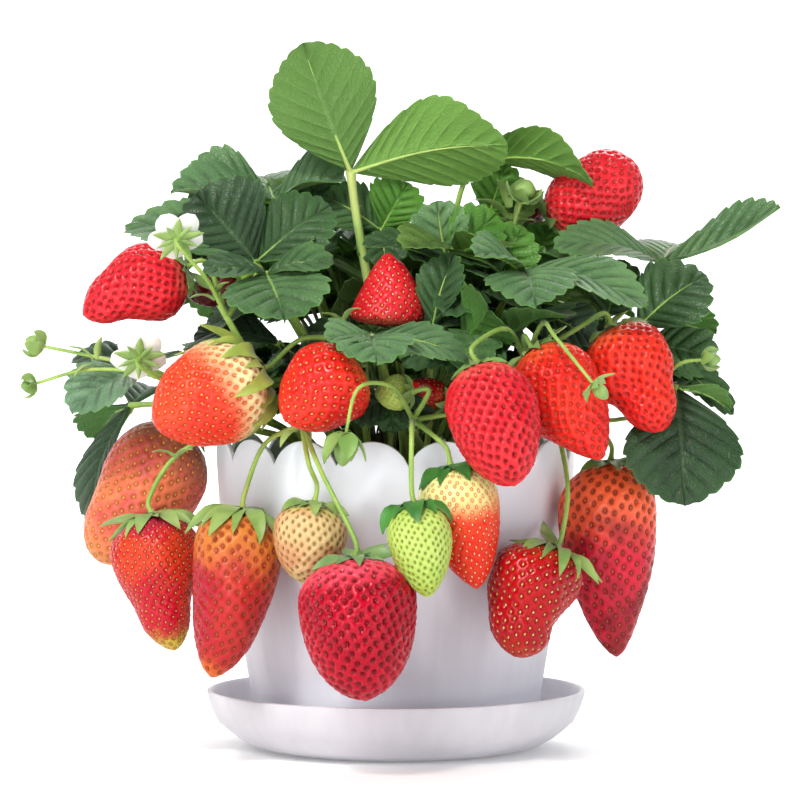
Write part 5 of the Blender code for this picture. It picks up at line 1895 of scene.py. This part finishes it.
LEAVES: dict[str, Leaf] = {
    "leaf_top": Leaf((262, 13), (-18, -5, 230), (
        Leaflet((-19, -4, 51), 44, (0.1, 0.97, 0.2), fold=8, arch=-0.06, veins=10, teeth=0.5, pleat=0.45),
        Leaflet(
            (62, -22, 10), 42, (-0.1, 0.85, 0.5), fold=12, veins=11, tone=Tone.PAINTED_LIT, teeth=0.5, pleat=0.5
        ),
        Leaflet((-27, 18, 19), 32, (0.3, 0.3, 0.9), fold=20, veins=7),
    ), Tone.BRIGHT, Green.PALE, stalk=2.1, lean=0.1, sway=-0.2),
    "leaf_upper_right": Leaf((20, 14), (31, 2, 235), (
        Leaflet((47, -24, -9), 36, (0.1, 0.55, 0.8), fold=14, arch=0.12, veins=10, teeth=0.6, pleat=0.6),
        Leaflet((-20, 44, 12), 36, (0.1, -0.2, 0.95)),
        Leaflet((30, 46, 4), 36, (0.0, 0.1, 1.0)),
    ), Tone.PAINTED_LIT, lean=0.2),
    "leaf_upper_left": Leaf((160, 14), (-49, 10, 219), (
        Leaflet((-41, -8, 4), 35, (0.0, -0.42, 0.9), fold=30, arch=0.03, tone=Tone.TWO_TONED, pleat=0.6),
        Leaflet((29, -8, 8), 35, (-0.1, -0.5, 0.9), fold=28, tone=Tone.TWO_TONED, pleat=0.6),
        Leaflet((-8, 40, 10), 32, (0.0, -0.1, 1.0)),
    ), Tone.MID, lean=0.3),
    "leaf_left_fan": Leaf((205, 14), (-55, -25, 194), (
        Leaflet((-24, 7, 27), 42, (-0.35, -0.75, 0.55), fold=10, veins=9, pleat=0.55),
        Leaflet((29, 10, 22), 28, (0.35, -0.7, 0.6), tone=Tone.DEEP, pleat=0.7),
        Leaflet((-52, 9, 15), 31, (-0.05, -0.6, 0.8), tone=Tone.GREY, pleat=0.7),
    ), Tone.DARK, lean=0.4),
    "leaf_left_front": Leaf((228, 14), (-50, -47, 189), (
        Leaflet((8, -32, -19), 40, (0.0, -0.62, 0.78), fold=8, veins=7),
        Leaflet((-24, -10, 1), 22, (-0.2, -0.5, 0.85), veins=6, tone=Tone.DEEP),
        Leaflet((26, -6, 5), 22, (0.2, -0.5, 0.85), veins=6),
    ), Tone.MID, lean=0.5),
    "leaf_front": Leaf((276, 24), (-9, -84, 165), (
        Leaflet((2, -25, -10), 29, (0.0, -0.6, 0.8), fold=8, veins=7),
        Leaflet((-16, -12, -2), 20, (-0.2, -0.6, 0.8), veins=6),
        Leaflet((36, -3, -8), 20, (0.15, -0.6, 0.8), veins=8),
    ), Tone.GREY, lean=0.8),
    "leaf_right_front": Leaf((325, 14), (49, -54, 190), (
        Leaflet((4, -30, -14), 34, (0.0, -0.6, 0.8), fold=8, veins=8),
        Leaflet((-19, -16, 6), 26, (-0.25, -0.6, 0.75), veins=7),
        Leaflet((47, -14, -14), 25, (0.2, -0.6, 0.75), veins=9),
    ), Tone.GREY, lean=0.5),
    "leaf_middle": Leaf((300, 13), (20, -24, 193), (
        Leaflet((-33, -12, 8), 18, (-0.1, -0.55, 0.85), fold=24, veins=7),
        Leaflet((-4, 2, 25), 24, (-0.2, -0.9, 0.35), veins=6, tone=Tone.GREY),
        Leaflet((20, 2, 20), 24, (0.3, -0.8, 0.5), veins=6, tone=Tone.BRIGHT),
    ), Tone.DEEP, lean=0.3),
    "leaf_middle_low": Leaf((297, 23), (14, -46, 168), (
        Leaflet((9, 2, 29), 20, (-0.4, -0.9, 0.3), fold=20, veins=7, tone=Tone.DEEP),
        Leaflet((17, 14, 2), 18, (0.1, -0.4, 0.9), veins=5),
    ), Tone.DEEP, lean=0.5),
    "leaf_right_far": Leaf((345, 22), (106, -4, 194), (
        Leaflet((-44, -22, 6), 26, (0.0, -0.6, 0.8), veins=9, pleat=0.6),
        Leaflet((46, -10, 22), 25, (-0.2, -0.5, 0.8), fold=30, arch=-0.06, veins=9),
        Leaflet((12, 40, 6), 30, (0.0, 0.0, 1.0)),
    ), Tone.GREY, Green.BROWNISH, lean=0.8),
    "leaf_right_mid": Leaf((326, 24), (95, -24, 168), (
        Leaflet((27, 0, 21), 35, (-0.35, -0.8, 0.5), fold=8, veins=7),
        Leaflet((5, -9, -21), 18, (0.3, -0.9, 0.3), fold=20, veins=6),
        Leaflet((32, 10, -2), 26, (0.0, 0.3, 1.0), veins=7),
    ), Tone.DEEP, lean=0.8),
    "leaf_right_low": Leaf((5, 23), (109, -40, 145), (
        Leaflet((2, -18, -45), 46, (0.1, -0.93, 0.36), fold=6, arch=0.06, veins=9, teeth=0.6, pleat=0.5),
        Leaflet((22, 8, -9), 14, (0.1, 0.3, 1.0), veins=5, tone=Tone.GREY),
        Leaflet((-8, 36, -8), 26, (0.1, 0.2, 1.0), veins=7),
    ), Tone.DARK, lean=1.0),
    "leaf_left_low": Leaf((186, 25), (-98, -26, 152), (
        Leaflet((-30, 10, 4), 18, (0.0, -0.5, 0.85), veins=6, tone=Tone.DARK),
        Leaflet((-28, -17, -17), 29, (-0.3, -0.7, 0.65), veins=7),
        Leaflet((2, 30, 2), 22, (0.0, -0.2, 1.0), veins=6),
    ), Tone.BLUISH, lean=1.0),
    "leaf_left_hanging": Leaf((170, 24), (-108, 27, 136), (
        Leaflet((-16, -3, -50), 34, (-0.85, -0.4, 0.35), fold=8, arch=0.08, veins=9),
        Leaflet((-16, 32, -14), 28, (-0.3, 0.2, 0.95), veins=7),
        Leaflet((14, 34, 4), 28, (0.0, 0.0, 1.0), veins=7),
    ), Tone.DARK, lean=1.0),
    "leaf_left_inner": Leaf((213, 24), (-46, -22, 162), (
        Leaflet((-34, 4, 2), 26, (0.0, -0.5, 0.85), veins=7),
        Leaflet((16, -4, -16), 20, (0.3, -0.6, 0.7), veins=6),
    ), Tone.DARK, lean=0.6),
    "leaf_right_inner": Leaf((313, 27), (56, -20, 174), (
        Leaflet((22, -4, -12), 28, (0.3, -0.6, 0.8), veins=7),
        Leaflet((-22, 12, -16), 30, (-0.3, -0.6, 0.8), veins=7),
        Leaflet((2, -24, -4), 26, (0.0, -0.4, 0.9), veins=7),
    ), Tone.DARK, lean=0.6),
    "leaf_back_left": Leaf((125, 14), (-54, 50, 182), (
        Leaflet((-24, 34, -10), 42, (-0.3, 0.4, 0.9), veins=9),
        Leaflet((-42, -6, -8), 36, (-0.3, 0.2, 0.95)),
        Leaflet((20, 32, -4), 36, (0.1, 0.4, 0.9)),
    ), Tone.MID, lean=0.5),
    "leaf_back_right": Leaf((50, 14), (58, 52, 180), (
        Leaflet((24, 34, -10), 42, (0.3, 0.4, 0.9), veins=9),
        Leaflet((40, -10, -8), 36, (0.3, 0.2, 0.95)),
        Leaflet((-20, 32, -4), 36, (-0.1, 0.4, 0.9)),
    ), Tone.DEEP, lean=0.5),
    "leaf_back": Leaf((92, 18), (0, 62, 164), (
        Leaflet((2, 38, -24), 44, (0.0, 0.5, 0.85), veins=9),
        Leaflet((-38, 12, -12), 38, (-0.3, 0.4, 0.9)),
        Leaflet((38, 10, -10), 38, (0.3, 0.4, 0.9)),
    ), Tone.MID, lean=0.7),
}

TRUSSES: dict[str, Truss] = {
    "truss_left": Truss((198, 32), ((-48, -22, 126), (-71, -32, 131)), (
        ("berry_left_low", ((-86, -34, 118),)),
        ("berry_left_big", ()),
    ), buds=(
        Bud((-139, -34, 161), (-6, 0, 3), 3.6, ((-90, -42, 150), (-118, -40, 157))),
        Bud((-142, -34, 146), (-5, 0, -1), 2.9, ((-90, -44, 148), (-118, -42, 152))),
    ), flowers=(
        Flower((-99, -54, 157), (-0.1, 0.8, 0.5), 23, ((-84, -48, 144),)),
    ), bracts=(
        Bract((-118, -40, 156), (-9, -2, 5)), Bract((-118, -41, 154), (-7, -4, -5)),
        Bract((-116, -41, 156), (2, -3, 9)), Bract((-86, -34, 117), (-9, -6, 3)),
        Bract((-86, -34, 117), (7, -6, 4)),
    ), lean=0.8),
    "truss_left_front": Truss((236, 32), ((-30, -52, 133), (-38, -66, 130)), (
        ("berry_long_left", ((-50, -67, 124),)),
        ("berry_pale", ((-33, -80, 117),)),
        ("berry_front_big", ((-28, -86, 114),)),
    ), bracts=(
        Bract((-38, -66, 129), (-6, -9, -6), 2.4), Bract((-37, -67, 130), (5, -9, -4), 2.2),
    ), lean=0.8),
    "truss_front": Truss((284, 32), ((6, -56, 130), (7, -71, 134)), (
        ("berry_green", ((6, -96, 130),)),
        ("berry_front_right", ((15, -80, 127),)),
        ("berry_inner_red", ()),
        ("berry_inner_green", ()),
    ), buds=(
        Bud((-19, -98, 128), (-1, 0, -12), 4.5, ((-1, -86, 146), (-14, -100, 146)), open=74.0),
    ), lean=0.8),
    "truss_front_high": Truss((252, 30), ((-14, -46, 140), (-21, -58, 172)), (
        ("berry_left_rim", ((-36, -61, 164),)),
        ("berry_rim", ((-14, -64, 164),)),
        ("berry_upright", ((-12, -50, 160),)),
    ), bracts=(Bract((-21, -58, 170), (-8, -6, 4)), Bract((-20, -58, 171), (6, -7, 5))), lean=0.5),
    "truss_right_front": Truss((304, 34), ((36, -46, 144), (55, -54, 160)), (
        ("berry_right_rim", ((42, -70, 168),)),
        ("berry_right_mid", ()),
        ("berry_twin", ((70, -54, 168),)),
    ), buds=(Bud((74, -106, 147), (5, -1, -5), 3.0, ((56, -68, 170), (60, -90, 165)), open=20.0),), lean=0.6),
    "truss_right": Truss((334, 32), ((52, -30, 132), (66, -42, 131)), (
        ("berry_right_low", ((66, -60, 108),)),
        ("berry_long_right", ((76, -40, 130),)),
    ), buds=(
        Bud((120, -48, 156), (6, -2, 0), 3.0, ((94, -34, 134), (108, -47, 153))),
    ), bracts=(Bract((66, -42, 130), (8, -8, 3)),), lean=0.9),
    "truss_upper_right": Truss((24, 26), ((34, 10, 160), (44, 8, 198)), (
        ("berry_upper_right", ()),
        ("berry_dark_right", ()),
    ), buds=(Bud((50, -8, 220), (3, -2, 7), 5.0, open=60.0),), bracts=(
        Bract((46, 4, 205), (-9, -8, 6), 2.6), Bract((47, 4, 206), (8, -10, 5), 2.6),
        Bract((46, 4, 204), (-2, -11, 8), 2.4), Bract((44, 2, 212), (-13, -8, 7), 3.2),
        Bract((45, 0, 216), (-5, -9, 11), 3.0), Bract((48, 2, 212), (9, -7, 11), 2.8),
        Bract((40, 4, 204), (-12, -8, -4), 2.8),
    ), green=Green.PALE, lean=0.3),
    "truss_upper_left": Truss((214, 35), ((-56, -46, 156), (-68, -51, 177)), (
        ("berry_upper_left", ((-72, -36, 190),)),
        ("berry_dark_left", ()),
    ), flowers=(
        Flower((-84, -62, 203), (-0.2, 0.75, 0.55), 23, ((-72, -58, 186),)),
    ), bracts=(Bract((-70, -52, 180), (6, -8, 6)), Bract((-70, -52, 179), (-9, -6, 1))), lean=0.7),
    "truss_back": Truss((82, 30), ((0, 62, 134), (2, 78, 128)), (
        ("berry_back_left", ((-34, 80, 128),)),
        ("berry_back", ((1, 90, 118),)),
        ("berry_back_right", ((34, 80, 130),)),
    ), bracts=(Bract((2, 78, 128), (6, 8, 4)), Bract((2, 78, 128), (-8, 7, 2))), lean=0.8),
}


FILLERS: tuple[Leaf, ...] = (
    Leaf((150, 10), (-37, 24, 208), (
        Leaflet((8, -4, 24), 24, (0.0, -0.9, 0.4), veins=7, tone=Tone.DEEP),
        Leaflet((-18, -2, 17), 22, (-0.1, -0.85, 0.5), veins=6, tone=Tone.HEART),
        Leaflet((22, -6, 10), 18, (0.1, -0.85, 0.5), veins=6, tone=Tone.HEART),
    ), Tone.DEEP, stalk=1.0, lean=0.2, hairs=40),
    Leaf((15, 18), (57, 14, 195), (
        Leaflet((5, -3, 15), 18, (0.1, -0.9, 0.4), veins=6, tone=Tone.PAINTED_LIT),
        Leaflet((-14, -2, 12), 16, (-0.1, -0.85, 0.5), veins=5, tone=Tone.HEART),
        Leaflet((17, -2, 8), 16, (0.1, -0.85, 0.5), veins=5, tone=Tone.PAINTED_LIT),
    ), Tone.PAINTED_LIT, stalk=1.0, lean=0.3, hairs=40),
    Leaf((350, 18), (84, -2, 172), (
        Leaflet((7, -5, 23), 25, (0.1, -0.85, 0.5), veins=6, tone=Tone.DEEP),
        Leaflet((-16, 0, 15), 20, (-0.1, -0.85, 0.5), veins=6, tone=Tone.HEART),
        Leaflet((-2, -6, -22), 20, (0.0, -0.9, 0.3), veins=6),
    ), Tone.DARK, stalk=1.1, lean=0.6, hairs=40),
    Leaf((155, 12), (-52, 16, 222), (
        Leaflet((-34, 2, 6), 30, (0.0, -0.85, 0.5), fold=10, veins=7, tone=Tone.GREY, pleat=0.6),
    ), Tone.MID, stalk=1.0, lean=0.3, hairs=40),
    Leaf((30, 12), (37, 8, 212), (
        Leaflet((7, -2, 22), 22, (0.1, -0.9, 0.4), veins=6, tone=Tone.PAINTED_LIT),
        Leaflet((21, -4, 8), 18, (0.1, -0.85, 0.5), veins=6, tone=Tone.HEART),
    ), Tone.PAINTED_LIT, stalk=1.0, lean=0.2, hairs=40),
    Leaf((268, 27), (-2, -58, 142), (
        Leaflet((-15, -4, -9), 16, (-0.1, -0.9, 0.3), veins=5),
        Leaflet((15, -3, -10), 15, (0.1, -0.9, 0.3), veins=5),
        Leaflet((1, -4, -14), 14, (0.0, -0.9, 0.3), veins=5, tone=Tone.DEEP),
    ), Tone.DARK, Green.SHADE, stalk=0.9, lean=0.8, hairs=0),
    Leaf((342, 22), (98, -12, 161), (
        Leaflet((29, -5, -6), 27, (-0.1, -0.85, 0.45), veins=7, tone=Tone.MID),
        Leaflet((35, -12, -27), 15, (0.3, -0.85, 0.4), veins=6),
        Leaflet((4, -8, -24), 20, (0.2, -0.9, 0.3), veins=6, tone=Tone.DARK),
    ), Tone.DEEP, stalk=1.1, lean=0.9, hairs=60),
    Leaf((300, 8), (-6, 2, 207), (
        Leaflet((11, 4, 19), 24, (0.1, -0.9, 0.4), veins=7, tone=Tone.PAINTED_LIT),
        Leaflet((-23, 6, 14), 23, (-0.2, -0.8, 0.5), veins=7, tone=Tone.MID),
        Leaflet((2, -14, -14), 22, (0.0, -0.8, 0.6), veins=7),
    ), Tone.DEEP, stalk=1.1, lean=0.1, hairs=60),
    Leaf((20, 10), (38, -14, 186), (
        Leaflet((12, -4, 22), 26, (0.1, -0.9, 0.4), veins=7, tone=Tone.PAINTED_LIT),
        Leaflet((26, -2, 6), 22, (0.2, -0.8, 0.5), veins=7, tone=Tone.BRIGHT),
    ), Tone.MID, stalk=1.1, lean=0.2, hairs=60),
)


@dataclass
class YoungLeaves:
    """The inner leaves that close the plant's heart.

    A leaf is turned down where more than low_points of its places lie under rim_height while it
    reaches past rim_reach, where it crosses the front of the tall stalk, whose middle goes from one
    tall_across to the other between the two tall_heights, or where it comes close to a fruit.
    """

    count: int = 92
    tries: int = 6
    seed: int = 31
    rim_height: float = 128.0
    rim_reach: float = 60.0
    low_points: int = 4
    tall_heights: tuple[float, float] = (186.0, 230.0)
    tall_across: tuple[float, float] = (-16.0, -18.5)
    tall_foot: float = 182.0
    tall_front: float = -6.0
    tall_room: float = 4.5
    fruit_room: float = 2.0

    def leaf(self, number: int, rng: np.random.Generator) -> Leaf:
        """One leaf of the spiral: every third lies low, just over the rim.

        Args:
            number: its place in the spiral.
            rng: the random draw for its size and tilt.

        Returns:
            The leaf.
        """
        degrees = math.degrees(number * GOLDEN_ANGLE) % 360.0 + rng.uniform(-6.0, 6.0)
        share = (number + 0.5) / self.count
        out = bearing(degrees)
        low = number % 3 == 0
        distance = rng.uniform(40.0, 62.0) if low else 8.0 + 56.0 * share**0.6
        height = rng.uniform(129.0, 148.0) if low else 205.0 - 55.0 * share + rng.uniform(-22.0, 12.0)
        joint = out * distance + np.array((0.0, 0.0, height))
        leaflets = []
        for turn in (0.0, 82.0, -82.0):
            size = rng.uniform(18.0, 28.0) if low else rng.uniform(26.0, 36.0)
            size *= 1.0 if turn == 0.0 else 0.88
            way = bearing(degrees + turn + rng.uniform(-10.0, 10.0))
            reach = unit(way + np.array((0.0, 0.0, rng.uniform(-0.55, 0.5)))) * size
            face = np.array((0.0, 0.0, 1.0)) + 0.5 * out + rng.normal(0.0, 0.2, 3)
            leaflets.append(Leaflet(tuple(reach), 0.92 * size, tuple(face), veins=6, teeth=1.2, fine=False))
        foot = (degrees + 9.0, 8.0 + 14.0 * share)
        # The DARK tone is painted shade for the leaves low and deep in the plant.
        tone = (Tone.DARK, Tone.HEART, Tone.MID, Tone.HEART, Tone.DEEP, Tone.DEEP)[number % 6]
        return Leaf(foot, tuple(joint), tuple(leaflets), tone, Green.SHADE, 0.95, 0.3, hairs=0, fine=False)

    def is_clear(self, leaf: Leaf) -> bool:
        """Whether its blades and its stalk stay clear of the fruit, the pot and the tall stalk's front."""
        path = leaf.stalk_path()[2:]
        places = [path]
        for leaflet in leaf.leaflets:
            length, ahead, side, _ = leaflet.frame()
            for across in (-0.42, 0.0, 0.42):
                run = np.outer(np.linspace(0.1, 1.0, 6) * length, ahead)
                places.append(array(leaf.joint) + run + side * across * leaflet.width)
        places = np.concatenate(places)
        x, y, z = places.T
        if (z < self.rim_height).sum() > self.low_points and np.hypot(x, y).max() > self.rim_reach:
            return False
        away = np.abs(x - np.interp(z, self.tall_heights, self.tall_across))
        if ((away < self.tall_room) & (y < self.tall_front) & (z > self.tall_foot)).any():
            return False
        for berry in BERRIES.values():
            base, length, _, _, axis = berry.axes()
            along = np.clip((places - base) @ axis, 0.0, length)
            gap = np.linalg.norm(places - base - np.outer(along, axis), axis=1)
            if (gap < berry.radius(along / length) + self.fruit_room).any():
                return False
        return True

    def build(self) -> None:
        """Build those that have room as one piece, and the chosen ones as another."""
        rng = np.random.default_rng(self.seed)
        piece = Piece("young_leaves")
        for number in range(self.count):
            for _ in range(self.tries):
                leaf = self.leaf(number, rng)
                if self.is_clear(leaf):
                    leaf.add_to(piece, 900 + number)
                    break
        piece.build()
        piece = Piece("filling_leaves")
        for number, leaf in enumerate(FILLERS):
            leaf.add_to(piece, 800 + number)
        piece.build()


# --- Studio ---


@dataclass
class Lamp:
    """A square soft light: where it is, what it is turned to, its size and its power."""

    place: Place
    size: float
    power: float
    colour: Colour = (1.0, 1.0, 1.0)


@dataclass
class Studio:
    """The pale floor, the soft lights and the camera."""

    target: Place = (0.0016, 0.0, 0.139)
    distance: float = 1.5
    elevation: float = 1.5
    lens: float = 168.75
    sky: float = 0.27
    floor_size: float = 12.0
    wall_y: float = 2.7
    wall_height: float = 3.0
    bend_steps: int = 8
    bend_radius: float = 0.8
    bend_run: float = 0.157
    lamps: tuple[Lamp, ...] = (
        Lamp((-0.75, -1.25, 1.1), 0.85, 15.2, (1.0, 0.985, 0.96)),
        Lamp((-0.45, -1.15, 1.35), 0.22, 12.0, (1.0, 0.99, 0.97)),
        Lamp((1.2, -1.0, 0.5), 0.8, 5.2, (0.95, 0.97, 1.0)),
        Lamp((-0.4, -1.05, 0.1), 0.35, 2.1, (0.97, 0.985, 1.0)),
        Lamp((0.25, 1.0, 1.3), 0.8, 12.0),
    )

    def build(self) -> None:
        """Lay the floor, hang the lights and set the camera."""
        self._sweep()
        world = bpy.data.worlds.new("studio")
        bpy.context.scene.world = world
        world.use_nodes = True
        world.node_tree.nodes["Background"].inputs["Color"].default_value = (0.94, 0.97, 1.0, 1.0)
        world.node_tree.nodes["Background"].inputs["Strength"].default_value = self.sky
        for number, lamp in enumerate(self.lamps):
            light = bpy.data.lights.new(f"softbox_{number}", "AREA")
            light.size = lamp.size
            light.energy = lamp.power
            light.color = lamp.colour
            obj = bpy.data.objects.new(light.name, light)
            obj.visible_camera = False
            obj.location = lamp.place
            obj.rotation_euler = self._turn_from(Vector(lamp.place))
            bpy.context.scene.collection.objects.link(obj)
        rise = math.radians(self.elevation)
        place = Vector((0.0, -math.cos(rise), math.sin(rise))) * self.distance + Vector(self.target)
        camera = bpy.data.cameras.new("camera")
        camera.lens = self.lens
        camera.sensor_width = 36.0
        camera.clip_start = 0.05
        camera.clip_end = 50.0
        obj = bpy.data.objects.new("camera", camera)
        obj.location = place
        obj.rotation_euler = self._turn_from(place)
        bpy.context.scene.collection.objects.link(obj)
        bpy.context.scene.camera = obj
        bpy.context.scene.view_settings.view_transform = "Standard"

    def _turn_from(self, place: Vector) -> Euler:
        """The turn that makes a lamp or a camera at a place look at the target."""
        return (Vector(self.target) - place).to_track_quat("-Z", "Y").to_euler()

    def _sweep(self) -> None:
        """A wide floor that curves up into a wall behind the plant."""
        select_none()
        place = (0.0, 0.0, -0.0002)
        bpy.ops.mesh.primitive_grid_add(
            x_subdivisions=2, y_subdivisions=2, size=self.floor_size, location=place
        )
        floor = bpy.context.object
        floor.name = "backdrop"
        bpy.ops.object.transform_apply(location=True)
        bpy.ops.object.mode_set(mode="EDIT")
        bpy.ops.mesh.select_all(action="SELECT")
        cut = (0.0, self.wall_y - self.bend_radius, 0.0)
        bpy.ops.mesh.bisect(plane_co=cut, plane_no=(0.0, 1.0, 0.0), clear_outer=True)
        for step in range(self.bend_steps):
            angle = math.radians(90.0 / self.bend_steps * (step + 0.5))
            move = (0.0, self.bend_run * math.cos(angle), self.bend_run * math.sin(angle))
            bpy.ops.mesh.extrude_edges_move(TRANSFORM_OT_translate={"value": move})
        up = (0.0, 0.0, self.wall_height)
        bpy.ops.mesh.extrude_edges_move(TRANSFORM_OT_translate={"value": up})
        bpy.ops.object.mode_set(mode="OBJECT")
        bpy.ops.object.shade_smooth()
        floor.data.materials.append(material_of(Matter.FLOOR))


def main() -> None:
    """Load the frame, build every piece round it and set the studio."""
    logging.basicConfig(level=logging.INFO, format="%(message)s", stream=sys.stdout)
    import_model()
    Saucer().build()
    Pot().build()
    Soil().build()
    Crown().build()
    for number, (name, leaf) in enumerate(LEAVES.items()):
        piece = Piece(f"{name}_blades")
        leaf.add_to(piece, 100 + number)
        piece.build(name)
    for name, berry in BERRIES.items():
        piece = Piece(f"{name}_fruit")
        berry.add_to(piece)
        piece.build(name, sharp=180.0)
    for number, (name, truss) in enumerate(TRUSSES.items()):
        piece = Piece(f"{name}_stems")
        truss.add_to(piece, 500 + number)
        piece.build(name)
        for flower in truss.flowers:
            bloom = Piece(f"{name}_bloom".replace("truss", "petals"))
            dome, stamens = flower.heart()
            bloom.add(flower.petals(), Matter.PETAL)
            bloom.add(dome, Matter.POLLEN)
            bloom.add(stamens, Matter.POLLEN)
            bloom.build(name.replace("truss", "petals"))
    YoungLeaves().build()
    Studio().build()
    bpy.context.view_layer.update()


if __name__ == "__main__":
    main()
